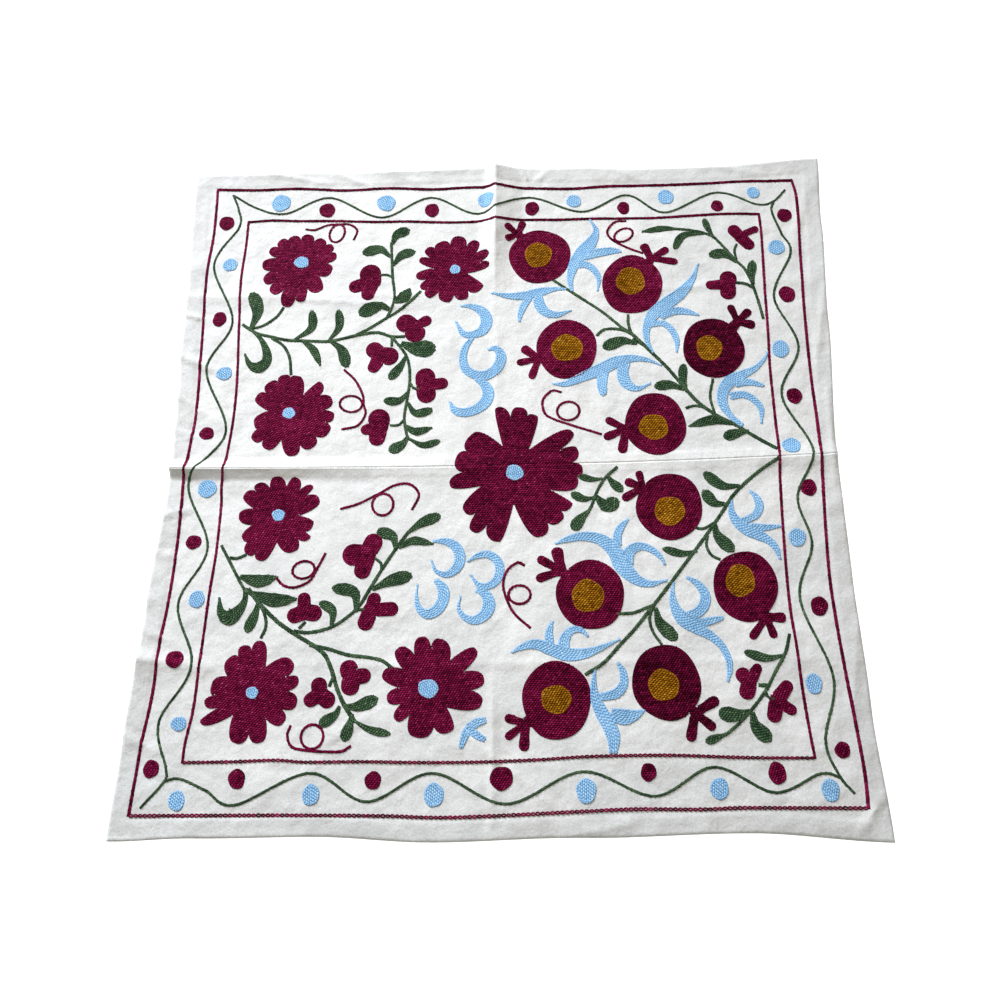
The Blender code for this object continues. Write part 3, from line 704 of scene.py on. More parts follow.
# Tones of a thread's colour ramp, from the shade between stitches to the sheen on them, linear colour.
# Columns: place on the ramp, red, green, blue
THREADS = {
    "burgundy_thread": (
        (0.00, 0.020, 0.0008, 0.004),
        (0.25, 0.098, 0.0027, 0.022),
        (0.50, 0.252, 0.0056, 0.058),
        (0.78, 0.405, 0.0290, 0.130),
        (1.00, 0.560, 0.1400, 0.270),
    ),
    "green_thread": (
        (0.00, 0.008, 0.022, 0.012),
        (0.25, 0.032, 0.072, 0.036),
        (0.50, 0.075, 0.140, 0.070),
        (0.78, 0.165, 0.250, 0.130),
        (1.00, 0.330, 0.420, 0.260),
    ),
    "blue_thread": (
        (0.00, 0.230, 0.440, 0.700),
        (0.25, 0.290, 0.545, 0.850),
        (0.50, 0.350, 0.640, 0.940),
        (0.78, 0.560, 0.800, 0.980),
        (1.00, 0.820, 0.930, 1.000),
    ),
    "ochre_thread": (
        (0.00, 0.060, 0.018, 0.0010),
        (0.25, 0.205, 0.075, 0.0025),
        (0.50, 0.430, 0.175, 0.0055),
        (0.78, 0.640, 0.340, 0.0300),
        (1.00, 0.800, 0.580, 0.1800),
    ),
}

# Ramps of the cotton and of the floor, in the same columns
COTTON_RAMP = ((0.36, 0.785, 0.795, 0.785), (0.64, 0.86, 0.862, 0.845))
FLOOR_RAMP = ((0.0, 0.925, 0.925, 0.92), (1.0, 0.935, 0.935, 0.935))

# One stitch: a bed with a slanted grain of thread over it. Its tones paint the bed and the grain's sides
# dark as shade and the grain's crest light as a highlight.
# Columns: along, across, inset, height in metres, tone, slanted, share of the stitch's own tone
STITCH = np.array((
    (-1.0, 0.0, 0.0, 0.00035, 0.18, 1.0, 0.5),
    (1.0, 0.0, 0.0, 0.00035, 0.18, 1.0, 0.5),
    (-0.55, 0.95, 0.0, 0.00020, 0.12, 1.0, 0.5),
    (0.55, 0.95, 0.0, 0.00020, 0.12, 1.0, 0.5),
    (-0.55, -0.95, 0.0, 0.00020, 0.12, 1.0, 0.5),
    (0.55, -0.95, 0.0, 0.00020, 0.12, 1.0, 0.5),
    (-0.5, 0.0, 0.0, 0.00110, 0.66, 1.0, 1.0),
    (0.5, 0.0, 0.0, 0.00110, 0.66, 1.0, 1.0),
    (-1.12, 1.25, 0.0, 0.00002, 0.06, 0.0, 0.3),
    (-1.12, 0.0, 0.0, 0.00045, 0.12, 0.0, 0.3),
    (-1.12, -1.25, 0.0, 0.00002, 0.06, 0.0, 0.3),
    (1.12, 1.25, 0.0, 0.00002, 0.06, 0.0, 0.3),
    (1.12, 0.0, 0.0, 0.00045, 0.12, 0.0, 0.3),
    (1.12, -1.25, 0.0, 0.00002, 0.06, 0.0, 0.3),
))
STITCH_FACES = np.array((
    (2, 6, 7, 3),
    (4, 5, 7, 6),
    (0, 4, 6, 2),
    (1, 3, 7, 5),
    (8, 9, 12, 11),
    (9, 10, 13, 12),
))
BED_FACES = STITCH_FACES[4:]


# A link's section, from its outside over its thread to its eye. Its tones paint a highlight on the thread's
# crest and shade at its outside and eye. Columns: inset, height in metres, tone, share of the stitch's own
# tone
LINK_SECTION = ((0.0, 0.00005, 0.20, 0.6), (1.0, 0.00105, 0.58, 1.0), (2.0, 0.00020, 0.14, 0.6))
LINK_POINTS = 8
# How much wider a link is at its head
LINK_HEAD = 0.2


def chain_link():
    """One link of chain stitch: a loop of thread, a little wider at its head, round a small eye."""
    rows, faces = [], []
    for step in range(LINK_POINTS):
        angle = math.tau * step / LINK_POINTS
        along, across = math.cos(angle), math.sin(angle) * (1.0 + LINK_HEAD * math.cos(angle))
        for inset, height, tone, own_tone in LINK_SECTION:
            rows.append((along, across, inset, height, tone, 0.0, own_tone))
        outer, following = step * 3, (step + 1) % LINK_POINTS * 3
        faces.append((outer, following, following + 1, outer + 1))
        faces.append((outer + 1, following + 1, following + 2, outer + 2))
    return np.array(rows), np.array(faces)


LINK, LINK_FACES = chain_link()


def mix(low, high, share):
    """The value that lies share of the way from low to high."""
    return low + (high - low) * share


def smooth(share):
    """Runs from 0 to 1 with level ends, and stays there outside."""
    share = np.clip(share, 0.0, 1.0)
    return share * share * (3.0 - 2.0 * share)


def eased(table, column, places):
    """One column of a table at places of its first column, eased between the rows."""
    rows = np.array([(row[0], row[column]) for row in table])
    after = np.clip(np.searchsorted(rows[:, 0], places), 1, len(rows) - 1)
    before = after - 1
    share = smooth((places - rows[before, 0]) / (rows[after, 0] - rows[before, 0]))
    return mix(rows[before, 1], rows[after, 1], share)


def left_side(y):
    return -HALF_WIDTH + eased(LEFT_INSETS, 1, y)


def right_side(y):
    return HALF_WIDTH - eased(RIGHT_INSETS, 1, y)


def bottom_side(x):
    return -HALF_LENGTH + eased(BOTTOM_INSETS, 1, x)


def top_side(x):
    return HALF_LENGTH - eased(TOP_INSETS, 1, x)


def seam_line(x):
    """The seam's Y at a given X: a shallow bow through its three named heights."""
    share = x / HALF_WIDTH
    slope = (SEAM_RIGHT - SEAM_LEFT) / 2.0
    bow = (SEAM_RIGHT + SEAM_LEFT) / 2.0 - SEAM_MIDDLE
    return SEAM_MIDDLE + slope * share + bow * share * share


def ridge(x, y, line, spreads):
    """The share along a straight ridge and the share of its spread away from it, at each place."""
    x0, y0, x1, y1 = line
    run_x, run_y = x1 - x0, y1 - y0
    length = math.hypot(run_x, run_y)
    along = ((x - x0) * run_x + (y - y0) * run_y) / length
    across = ((y - y0) * run_x - (x - x0) * run_y) / length
    past = np.maximum(0.0, np.maximum(-along, along - length))
    away = np.sqrt(across * across + past * past) / np.where(across > 0.0, spreads[0], spreads[1])
    return np.clip(along / length, 0.0, 1.0), np.minimum(1.0, away)


def lift(x, y):
    """How high the cloth's underside stands over the floor."""
    across = y - seam_line(x)
    spread = np.where(across > 0.0, eased(SEAM_CREASE, 2, x), eased(SEAM_CREASE, 3, x))
    away = np.minimum(1.0, np.abs(across) / spread)
    heights = eased(SEAM_CREASE, 1, x) * (1.0 - away) ** FOLD_SHARPNESS
    for fold in FOLDS:
        along, away = ridge(x, y, fold[:4], fold[6:])
        fold_heights = mix(fold[4], fold[5], along) * (1.0 - away) ** FOLD_SHARPNESS
        heights = np.maximum(heights, fold_heights)
    for wrinkle in WRINKLES:
        along, away = ridge(x, y, wrinkle[:4], (wrinkle[5], wrinkle[5]))
        crest = WRINKLE_RISE * wrinkle[4] * np.sin(math.pi * mix(*WRINKLE_ENDS, along))
        heights = heights + crest * (1.0 - away) ** WRINKLE_SHARPNESS
    for wavelength, degrees, phase, height in WAVES:
        angle = math.radians(degrees)
        run = (x * math.cos(angle) + y * math.sin(angle)) * math.tau / wavelength
        bend = np.sin(run * WAVE_BEND + phase * 2.0)
        heights = heights + height * (1.0 + np.sin(run + phase + bend))
    return heights


def from_hem(x, y):
    """How far each place is from the cloth's nearest side."""
    from_side = np.minimum(x - left_side(y), right_side(y) - x)
    return np.minimum(from_side, np.minimum(y - bottom_side(x), top_side(x) - y))


def thickness(x, y):
    """The cloth's thickness: more over the hem and the seam allowances, rounded off at each edge."""
    from_edge = from_hem(x, y)
    from_seam = np.abs(y - seam_line(x))
    hem = smooth((HEM_WIDTH + STEP_WIDTH - from_edge) / STEP_WIDTH)
    allowance = smooth((SEAM_ALLOWANCE + STEP_WIDTH - from_seam) / STEP_WIDTH)
    full = CLOTH_THICK + np.maximum(HEM_EXTRA * hem, SEAM_EXTRA * allowance)
    edge = np.sqrt(np.clip(from_edge / HEM_ROUND, 0.0, 1.0))
    seam = np.sqrt(np.clip(from_seam / SEAM_ROUND, 0.0, 1.0))
    return full * mix(EDGE_SHARE, 1.0, np.minimum(edge, seam))


def lay(places, heights):
    """Points that stand on the cloth's top at flat places, at heights measured square to the cloth."""
    x, y = places[:, 0], places[:, 1]
    top = lift(x, y) + thickness(x, y)
    slopes = []
    for aside, ahead in ((SLOPE_STEP, 0.0), (0.0, SLOPE_STEP)):
        gain = lift(x + aside, y + ahead) + thickness(x + aside, y + ahead) - top
        slopes.append(np.clip(gain / SLOPE_STEP, -STEEPEST, STEEPEST))
    slope_x, slope_y = slopes
    rise = heights / np.sqrt(1.0 + slope_x * slope_x + slope_y * slope_y)
    return np.stack([x - slope_x * rise, y - slope_y * rise, top + rise], axis=1)


def paint(piece, name, values):
    """Gives a piece a number at each of its points, for its material."""
    attribute = piece.data.attributes.new(name, "FLOAT", "POINT")
    attribute.data.foreach_set("value", values.astype(np.float32))


def new_mesh_object(name, points, faces, material):
    """An object with a mesh of four-sided faces, smoothly shaded."""
    mesh = bpy.data.meshes.new(name)
    mesh.vertices.add(len(points))
    mesh.vertices.foreach_set("co", points.astype(np.float32).ravel())
    mesh.loops.add(faces.size)
    mesh.loops.foreach_set("vertex_index", faces.astype(np.int32).ravel())
    mesh.polygons.add(len(faces))
    mesh.polygons.foreach_set("loop_start", np.arange(0, faces.size, 4, dtype=np.int32))
    mesh.update(calc_edges=True)
    mesh.validate()
    mesh.shade_smooth()
    mesh.materials.append(material)
    item = bpy.data.objects.new(name, mesh)
    bpy.context.scene.collection.objects.link(item)
    return item


def grid_lines(bands):
    """The grid lines of a table of bands, each band in equal steps no longer than its longest."""
    lines = [bands[0][0]]
    for start, end, longest in bands:
        count = max(1, math.ceil((end - start) / longest - 1e-6))
        lines += [mix(start, end, (step + 1) / count) for step in range(count)]
    return np.array(lines)


def cloth_panel(name, outer_side, direction, material):
    """One closed cotton panel, from the seam out to its outer side."""
    column, row = np.meshgrid(grid_lines(COLUMN_BANDS), grid_lines(ROW_BANDS))
    rows, columns = column.shape
    square_x = mix(-HALF_WIDTH, HALF_WIDTH, column.ravel())
    inner = seam_line(square_x) + direction * SEAM_GAP / 2.0
    y = mix(inner, outer_side(square_x), row.ravel())
    x = mix(left_side(y), right_side(y), column.ravel())
    under = lift(x, y)
    over = under + thickness(x, y)
    lower = np.stack([x, y, under], axis=1)
    upper = np.stack([x, y, over], axis=1)
    count = rows * columns
    index = np.arange(count).reshape(rows, columns)
    corners = (index[:-1, :-1], index[:-1, 1:], index[1:, 1:], index[1:, :-1])
    flat = np.stack([corner.ravel() for corner in corners], axis=1)
    round_edge = np.concatenate([index[0, :-1], index[:-1, -1], index[-1, :0:-1], index[:0:-1, 0]])
    following = np.roll(round_edge, -1)
    wall = np.stack([round_edge, following, following + count, round_edge + count], axis=1)
    faces = np.concatenate([flat[:, ::-1], flat + count, wall])
    if direction < 0.0:
        faces = faces[:, ::-1]
    panel = new_mesh_object(name, np.concatenate([lower, upper]), faces, material)
    # Painted shade: a band along the hem, strongest at the edge, that darkens the cotton's colour
    hem_painted_shade = smooth((HEM_SHADE_WIDTH - from_hem(x, y)) / HEM_SHADE_WIDTH + HEM_SHADE_START)
    paint(panel, "hem", np.tile(hem_painted_shade, 2))
    return panel


def rows_of(width, numbers):
    """The rows of a flat table in centimetres, in metres."""
    return np.reshape(numbers, (-1, width)) * CM


def smooth_run(rows, step):
    """A smooth run through the rows of a table, with points about one step apart."""
    padded = np.vstack([2.0 * rows[0] - rows[1], rows, 2.0 * rows[-1] - rows[-2]])
    runs = []
    for p0, p1, p2, p3 in zip(padded, padded[1:], padded[2:], padded[3:]):
        count = max(2, int(math.hypot(p2[0] - p1[0], p2[1] - p1[1]) / step))
        t = np.linspace(0.0, 1.0, count, endpoint=False)[:, None]
        cubic = (3.0 * p1 - p0 - 3.0 * p2 + p3) * t ** 3
        square = (2.0 * p0 - 5.0 * p1 + 4.0 * p2 - p3) * t ** 2
        runs.append(0.5 * (2.0 * p1 + (p2 - p0) * t + square + cubic))
    return np.vstack([*runs, rows[-1:]])


def lengths_along(run):
    """How far each point of a run is from its start, along it."""
    return np.concatenate([[0.0], np.cumsum(np.hypot(np.diff(run[:, 0]), np.diff(run[:, 1])))])


def even_steps(run, step, closed=False):
    """Places at equal steps along a run, the run's direction at each, and the step."""
    if closed:
        run = np.vstack([run, run[:1]])
    along = lengths_along(run)
    count = max(1, round(along[-1] / step))
    middles = (np.arange(count) + 0.5) * along[-1] / count
    reach = along[-1] / count * DIRECTION_REACH
    places, before, after = [
        np.stack([np.interp(middles + shift, along, run[:, axis]) for axis in (0, 1)], axis=1)
        for shift in (0.0, -reach, reach)
    ]
    ahead = after - before
    return places, np.arctan2(ahead[:, 1], ahead[:, 0]), along[-1] / count


def between_corners(loop):
    """A closed line's sides, from each sharp corner to the next."""
    ahead = np.roll(loop, -1, axis=0) - loop
    behind = loop - np.roll(loop, 1, axis=0)
    lengths = np.hypot(ahead[:, 0], ahead[:, 1]) * np.hypot(behind[:, 0], behind[:, 1])
    corners = np.flatnonzero((ahead * behind).sum(axis=1) < CORNER_COSINE * lengths)
    ends = np.append(corners[1:], corners[0] + len(loop))
    return [loop.take(range(start, end + 1), axis=0, mode="wrap") for start, end in zip(corners, ends)]


def inside(places, loop):
    """Whether each place lies inside a closed loop."""
    x, y = places[:, 0:1], places[:, 1:2]
    x0, y0 = loop[:, 0], loop[:, 1]
    x1, y1 = np.roll(x0, -1), np.roll(y0, -1)
    spans = (y0 > y) != (y1 > y)
    rise = np.where(y1 == y0, 1.0, y1 - y0)
    left_of = x < x0 + (x1 - x0) * (y - y0) / rise
    return np.count_nonzero(spans & left_of, axis=1) % 2 == 1


def nearness(places, loop):
    """How far each place is from a loop's nearest point."""
    gaps = places[:, None, :] - loop[None, :, :]
    return np.sqrt((gaps ** 2).sum(axis=2).min(axis=1))


def ring(middle, half_width, half_height, count, lean=0.0):
    """An oval loop, which may lean to the left by an angle in degrees."""
    angles = np.arange(count) * math.tau / count
    oval = np.stack([half_width * np.cos(angles), half_height * np.sin(angles)], axis=1)
    turn = math.radians(lean)
    across = oval[:, 0] * math.cos(turn) - oval[:, 1] * math.sin(turn)
    up = oval[:, 0] * math.sin(turn) + oval[:, 1] * math.cos(turn)
    return np.asarray(middle) + np.stack([across, up], axis=1)


def wavy_ring(x, y, half_width, half_height, wobble, count=SMALL_RING_POINTS):
    """An oval that was drawn by hand, from centimetres."""
    loop = ring((0.0, 0.0), half_width * CM, half_height * CM, count)
    angles = np.arange(count) * math.tau / count
    swell = 1.0
    for waves in WOBBLE_WAVES:
        swell = swell + wobble * np.sin(waves * angles + dice.uniform(0.0, math.tau))
    return np.array((x, y)) * CM + loop * np.reshape(swell, (-1, 1))


def shrunk(loop, middle, share):
    """A loop drawn in towards its middle."""
    return middle + (loop - middle) * share


def spoke(degrees, reach):
    """The point at a direction and a reach."""
    angle = math.radians(degrees)
    return np.array([math.cos(angle) * reach, math.sin(angle) * reach])


def lobe(middle, tip, reach, half_width, root):
    """A lobe with a round head, from its bud's middle, where it has its root width. From centimetres."""
    head = spoke(tip, reach - half_width)
    front = ring(head, half_width, half_width, SMALL_RING_POINTS, tip - 90.0)
    rear = ring((0.0, 0.0), root, root, SMALL_RING_POINTS, tip + 90.0)
    half = SMALL_RING_POINTS // 2 + 1
    return (np.array(middle) + np.vstack([front[:half], rear[:half]])) * CM


def petal_side(cleft, tip):
    """A curve from a cleft to a tip: the side leaves along the petal and comes round its tip."""
    ahead = tip / np.hypot(*tip)
    along = max(0.0, np.dot(tip - cleft, ahead))
    aside = cleft - ahead * np.dot(cleft, ahead)
    leaving = cleft + ahead * along * PETAL_FULLNESS[0]
    arriving = tip + aside * PETAL_FULLNESS[1]
    share = np.arange(PETAL_SIDE_POINTS)[:, None] / PETAL_SIDE_POINTS
    rest = 1.0 - share
    start = rest ** 3 * cleft + 3.0 * rest ** 2 * share * leaving
    return start + 3.0 * rest * share ** 2 * arriving + share ** 3 * tip


def petal_ring(middle, petals):
    """A loop of petals, its corners cut, from rows of each petal's tip and the cleft after it."""
    sides = []
    for number, (tip, reach, cleft, cleft_reach) in enumerate(petals):
        point = spoke(tip, reach)
        sides.append(petal_side(spoke(*petals[number - 1][2:]), point))
        sides.append(petal_side(spoke(cleft, cleft_reach), point)[:0:-1])
    loop = middle + np.vstack(sides)
    after = np.roll(loop, -1, axis=0)
    cuts = [mix(loop, after, share) for share in (CORNER_CUT, 1.0 - CORNER_CUT)]
    return np.stack(cuts, axis=1).reshape(-1, 2)


def stitch_rows(places, angles, half_lengths, half_widths, tones):
    """The table of stitches: x, y, angle, half length, half width, tone."""
    count = len(places)
    columns = [np.broadcast_to(column, count) for column in (angles, half_lengths, half_widths, tones)]
    return np.column_stack([places[:, 0], places[:, 1], *columns])


def stretches(crossings, weights):
    """Where a row runs inside the outlines and outside the holes, from its crossings and their weights."""
    order = np.argsort(crossings)
    places = crossings[order]
    covered = np.cumsum(weights[order]) > 0
    before = np.concatenate([[False], covered[:-1]])
    return zip(places[covered & ~before], places[~covered & before])


def bare_edges(loops, holes):
    """The places round joined outlines and their holes that lie inside no other outline."""
    places = [even_steps(hole, OUTLINE_STEP, closed=True)[0] for hole in holes]
    for number, loop in enumerate(loops):
        others = loops[:number] + loops[number + 1:]
        places.append(outside_of(even_steps(loop, OUTLINE_STEP, closed=True)[0], others))
    return np.vstack(places)


def filled(loops, degrees, holes=()):
    """Rows of stitches that fill joined outlines, less their holes, alternate rows half a stitch along."""
    angle = math.radians(degrees)
    turn = np.array([[math.cos(angle), -math.sin(angle)], [math.sin(angle), math.cos(angle)]])
    turned = [(loop @ turn, 1) for loop in loops] + [(hole @ turn, -HOLE_WEIGHT) for hole in holes]
    lowest = min(loop[:, 1].min() for loop, weight in turned)
    highest = max(loop[:, 1].max() for loop, weight in turned)
    rows = []
    for row in range(math.ceil(lowest / ROW_SPACING), math.floor(highest / ROW_SPACING) + 1):
        level = row * ROW_SPACING
        crossings, weights = [], []
        for loop, weight in turned:
            after = np.roll(loop, -1, axis=0)
            crossed = (loop[:, 1] > level) != (after[:, 1] > level)
            share = (level - loop[crossed, 1]) / (after[crossed, 1] - loop[crossed, 1])
            places = np.sort(mix(loop[crossed, 0], after[crossed, 0], share))
            crossings.append(places)
            weights.append(np.tile([weight, -weight], len(places) // 2))
        row_tone = dice.normal(0.0, ROW_TONE_SPREAD)
        shift = (row % 2 * 0.5 + dice.uniform(-ROW_SHIFT, ROW_SHIFT)) * FILL_STITCH
        for start, end in stretches(np.concatenate(crossings), np.concatenate(weights)):
            start, end = start + EDGE_INSET, end - EDGE_INSET
            if end - start < SHORTEST_ROW * FILL_STITCH:
                continue
            first = math.ceil((start - shift) / FILL_STITCH)
            last = math.floor((end - shift) / FILL_STITCH)
            cuts = np.arange(first, last + 1) * FILL_STITCH + shift
            room = END_ROOM * FILL_STITCH
            cuts = np.concatenate([[start], cuts[(cuts > start + room) & (cuts < end - room)], [end]])
            middles = (cuts[1:] + cuts[:-1]) / 2.0
            levels = level + dice.uniform(-ROW_DRIFT, ROW_DRIFT, len(middles))
            places = np.stack([middles, levels], axis=1)
            rows.append(stitch_rows(places, angle, np.diff(cuts) / 2.0, ROW_SPACING / 2.0, row_tone))
    stitches = np.vstack(rows)
    stitches[:, :2] = stitches[:, :2] @ turn.T
    stitches[:, 2] += dice.normal(0.0, FILL_TILT, len(stitches))
    stitches[:, 5] += dice.normal(0.0, TONE_SPREAD, len(stitches))
    return stitches[nearness(stitches[:, :2], bare_edges(loops, holes)) > EDGE_INSET * EDGE_ROOM]


def edged(loop, tone):
    """Stitches that run round a loop, just inside it."""
    area = np.sum(loop[:, 0] * np.roll(loop[:, 1], -1) - np.roll(loop[:, 0], -1) * loop[:, 1])
    places, angles, step = even_steps(loop, EDGE_STITCH, closed=True)
    side = EDGE_INSET * (1.0 if area > 0.0 else -1.0)
    places = places + np.stack([-np.sin(angles), np.cos(angles)], axis=1) * side
    tones = tone + dice.normal(0.0, EDGE_TONE_SPREAD, len(places))
    return stitch_rows(places, angles, step * EDGE_REACH, EDGE_INSET * EDGE_WIDTH, tones)


def blade(run):
    """The outline of a form that swells and tapers along its run of x, y and half width."""
    ahead = np.gradient(run[:, :2], axis=0)
    ahead /= np.maximum(1e-9, np.hypot(ahead[:, 0], ahead[:, 1]))[:, None]
    side = np.stack([-ahead[:, 1], ahead[:, 0]], axis=1) * np.maximum(run[:, 2:3], THINNEST_BLADE)
    return np.vstack([run[:, :2] + side, (run[:, :2] - side)[::-1]])


def along_blade(run, length):
    """Rows of stitches that follow a blade from end to end."""
    along = lengths_along(run)
    ahead = np.gradient(run[:, :2], axis=0)
    angles = np.unwrap(np.arctan2(ahead[:, 1], ahead[:, 0]))
    reach = math.floor(run[:, 2].max() / ROW_SPACING + SPARE_ROW)
    rows = []
    for row in range(-reach, reach + 1):
        offset = row * ROW_SPACING
        shift = (row % 2 * 0.5 + dice.uniform(-BLADE_SHIFT, BLADE_SHIFT)) * length
        middles = np.arange(shift - length * 0.5, along[-1], length)
        middles = middles[middles > 0.0]
        widths = np.interp(middles, along, run[:, 2])
        middles = middles[widths > abs(offset) + SPARE_WIDTH * ROW_SPACING]
        if len(middles) == 0:
            continue
        angle = np.interp(middles, along, angles)
        x = np.interp(middles, along, run[:, 0]) - np.sin(angle) * offset
        y = np.interp(middles, along, run[:, 1]) + np.cos(angle) * offset
        room = np.interp(middles, along, run[:, 2]) - abs(offset)
        room = np.clip(room, THINNEST_STITCH, ROW_SPACING / 2.0)
        arriving = np.interp(middles + length / 2.0, along, angles)
        turning = arriving - np.interp(middles - length / 2.0, along, angles)
        reaches = np.maximum(SHORTEST_BEND * length, length - turning * offset) / 2.0
        tones = dice.normal(0.0, TONE_SPREAD, len(middles)) + dice.normal(0.0, BLADE_TONE_SPREAD)
        rows.append(stitch_rows(np.stack([x, y], axis=1), angle, reaches, room, tones))
    stitches = np.vstack(rows)
    stitches[:, 2] += dice.normal(0.0, BLADE_TILT, len(stitches))
    return stitches


def outside_of(stitches, loops):
    """The stitches, or places, whose middle lies in none of the loops."""
    for loop in loops:
        stitches = stitches[~inside(stitches[:, :2], loop)]
    return stitches


def edge_forms(loops, tone=EDGE_TONE):
    """The edge stitches round joined outlines, left out where one outline runs inside another."""
    forms = []
    for number, loop in enumerate(loops):
        forms.append(edge_form(outside_of(edged(loop, tone), loops[:number] + loops[number + 1:])))
    return forms


def worked_blades(runs, length):
    """Blades that join: each is filled along its own run where no earlier one lies."""
    outlines = [blade(run) for run in runs]
    cores = []
    forms = edge_forms(outlines)
    for run in runs:
        stitches = outside_of(along_blade(run, length), cores)
        if len(stitches):
            forms.append(fill_form(stitches))
        core = run.copy()
        core[:, 2] -= CORE_INSET
        cores.append(blade(core))
    return forms


def chained(run, half_width, closed=False, link=LINK_LENGTH, tone=0.0):
    """The links of chain stitch along a run."""
    places, angles, step = even_steps(run, link, closed)
    angles = angles + dice.normal(0.0, LINK_TILT, len(places))
    tones = tone + dice.normal(0.0, LINK_TONE_SPREAD, len(places))
    widths = half_width * dice.uniform(*LINK_WIDTHS, len(places))
    return stitch_rows(places, angles, step * LINK_REACH, widths, tones)


def formed(template, faces, stitches, slant=0.0, thread=0.0):
    """A template copied onto every stitch: flat places, heights, tones and faces."""
    along = np.maximum(THINNEST_LINK, stitches[:, 3:4] - thread * template[:, 2]) * template[:, 0]
    across = np.maximum(THINNEST_LINK, stitches[:, 4:5] - thread * template[:, 2]) * template[:, 1]
    turn = stitches[:, 2:3] + slant * template[:, 5]
    x = stitches[:, 0:1] + along * np.cos(turn) - across * np.sin(turn)
    y = stitches[:, 1:2] + along * np.sin(turn) + across * np.cos(turn)
    heights = np.broadcast_to(template[:, 3], x.shape)
    # The template's tones paint shade on beds and sides and a highlight on crests, over each stitch's own
    # tone
    tones = template[:, 4] + stitches[:, 5:6] * template[:, 6]
    numbered = faces[None] + (np.arange(len(stitches)) * len(template))[:, None, None]
    places = np.stack([x.ravel(), y.ravel()], axis=1)
    return places, heights.ravel(), tones.ravel(), numbered.reshape(-1, 4)


def fill_form(stitches):
    return formed(STITCH, STITCH_FACES, stitches, slant=SLANT)


def edge_form(stitches):
    return formed(STITCH, STITCH_FACES, stitches, slant=EDGE_SLANT)


def chain_form(stitches):
    return formed(LINK, LINK_FACES, stitches, thread=LINK_THREAD)


def bedded_chain_form(stitches):
    """Chain stitch worked over a bed of thread, painted dark as shade, so that no cotton shows through it.
    """
    bed = stitches.copy()
    bed[:, 4] *= BED_WIDTH
    return formed(STITCH, BED_FACES, bed), chain_form(stitches)


def worked_shape(outlines, degrees, tone=0.0, edge_tone=EDGE_TONE, holes=()):
    """Joined outlines filled with rows of stitches, less their holes, and edged."""
    stitches = filled(outlines, degrees, holes)
    stitches[:, 5] += tone
    return [fill_form(stitches), *edge_forms(outlines, tone + edge_tone)]


def embroider(name, thread, *forms, clearance=BASE_CLEARANCE):
    """One piece of embroidery, laid on the cloth."""
    places, heights, tones, faces, count = [], [], [], [], 0
    for form in forms:
        places.append(form[0])
        heights.append(form[1])
        tones.append(form[2])
        faces.append(form[3] + count)
        count += len(form[0])
    flat = np.vstack(places) * BORDER_SCALE + BORDER_MIDDLE
    points = lay(flat, np.concatenate(heights) + clearance)
    piece = new_mesh_object(name, points, np.vstack(faces), materials[thread])
    paint(piece, "tone", np.concatenate(tones))
    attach(piece, "root")


def leaf_run(points, half_width, profile):
    """A leaf's run of x, y and half width, from places on its middle line."""
    run = smooth_run(rows_of(2, points), LEAF_STEP)
    along = lengths_along(run)
    shares, widths = np.array(LEAF_PROFILES[profile]).T
    return np.column_stack([run, np.interp(along / along[-1], shares, widths) * half_width * CM])


def feed(node, values):
    """Sets a node's inputs. What comes from another node is linked, and any other value is set."""
    for socket, value in values.items():
        if isinstance(value, bpy.types.NodeSocket):
            node.id_data.links.new(value, node.inputs[socket])
        else:
            node.inputs[socket].default_value = value


def new_material(name, values):
    """A new material, its shader with some of its inputs set, and the place on the object."""
    material = bpy.data.materials.new(name)
    material.use_nodes = True
    nodes = material.node_tree.nodes
    shader = nodes["Principled BSDF"]
    feed(shader, values)
    return material, shader, nodes.new("ShaderNodeTexCoord").outputs["Object"]


def painted(shader, name):
    """The number that a piece has at each of its points under a name."""
    node = shader.id_data.nodes.new("ShaderNodeAttribute")
    node.attribute_name = name
    return node.outputs["Fac"]


def noise(place, scale, detail=2.0, roughness=0.5, distortion=0.0, kind="FBM"):
    """An uneven shade from 0 to 1 all over the object."""
    node = place.id_data.nodes.new("ShaderNodeTexNoise")
    node.noise_type = kind
    feed(node, {"Vector": place, "Scale": scale, "Detail": detail})
    feed(node, {"Roughness": roughness, "Distortion": distortion})
    return node.outputs["Fac"]


def remapped(value, span, onto):
    """A value carried from one span onto another."""
    node = value.id_data.nodes.new("ShaderNodeMapRange")
    feed(node, {"Value": value, "From Min": span[0], "From Max": span[1]})
    feed(node, {"To Min": onto[0], "To Max": onto[1]})
    return node.outputs["Result"]


def joined(operation, first, second):
    """Two values added or multiplied."""
    node = first.id_data.nodes.new("ShaderNodeMath")
    node.operation = operation
    feed(node, {0: first, 1: second})
    return node.outputs["Value"]


def coloured(value, rows):
    """A value's colour on a ramp. Columns: place on the ramp, red, green, blue."""
    node = value.id_data.nodes.new("ShaderNodeValToRGB")
    elements = node.color_ramp.elements
    while len(elements) < len(rows):
        elements.new(0.5)
    for element, (position, *colour) in zip(elements, rows):
        element.position = position
        element.color = (*colour, 1.0)
    feed(node, {"Fac": value})
    return node.outputs["Color"]


def relief(height, strength, distance, **below):
    """A height as relief, over another relief where there is one below."""
    node = height.id_data.nodes.new("ShaderNodeBump")
    feed(node, {"Height": height, "Strength": strength, "Distance": distance, **below})
    return node.outputs["Normal"]


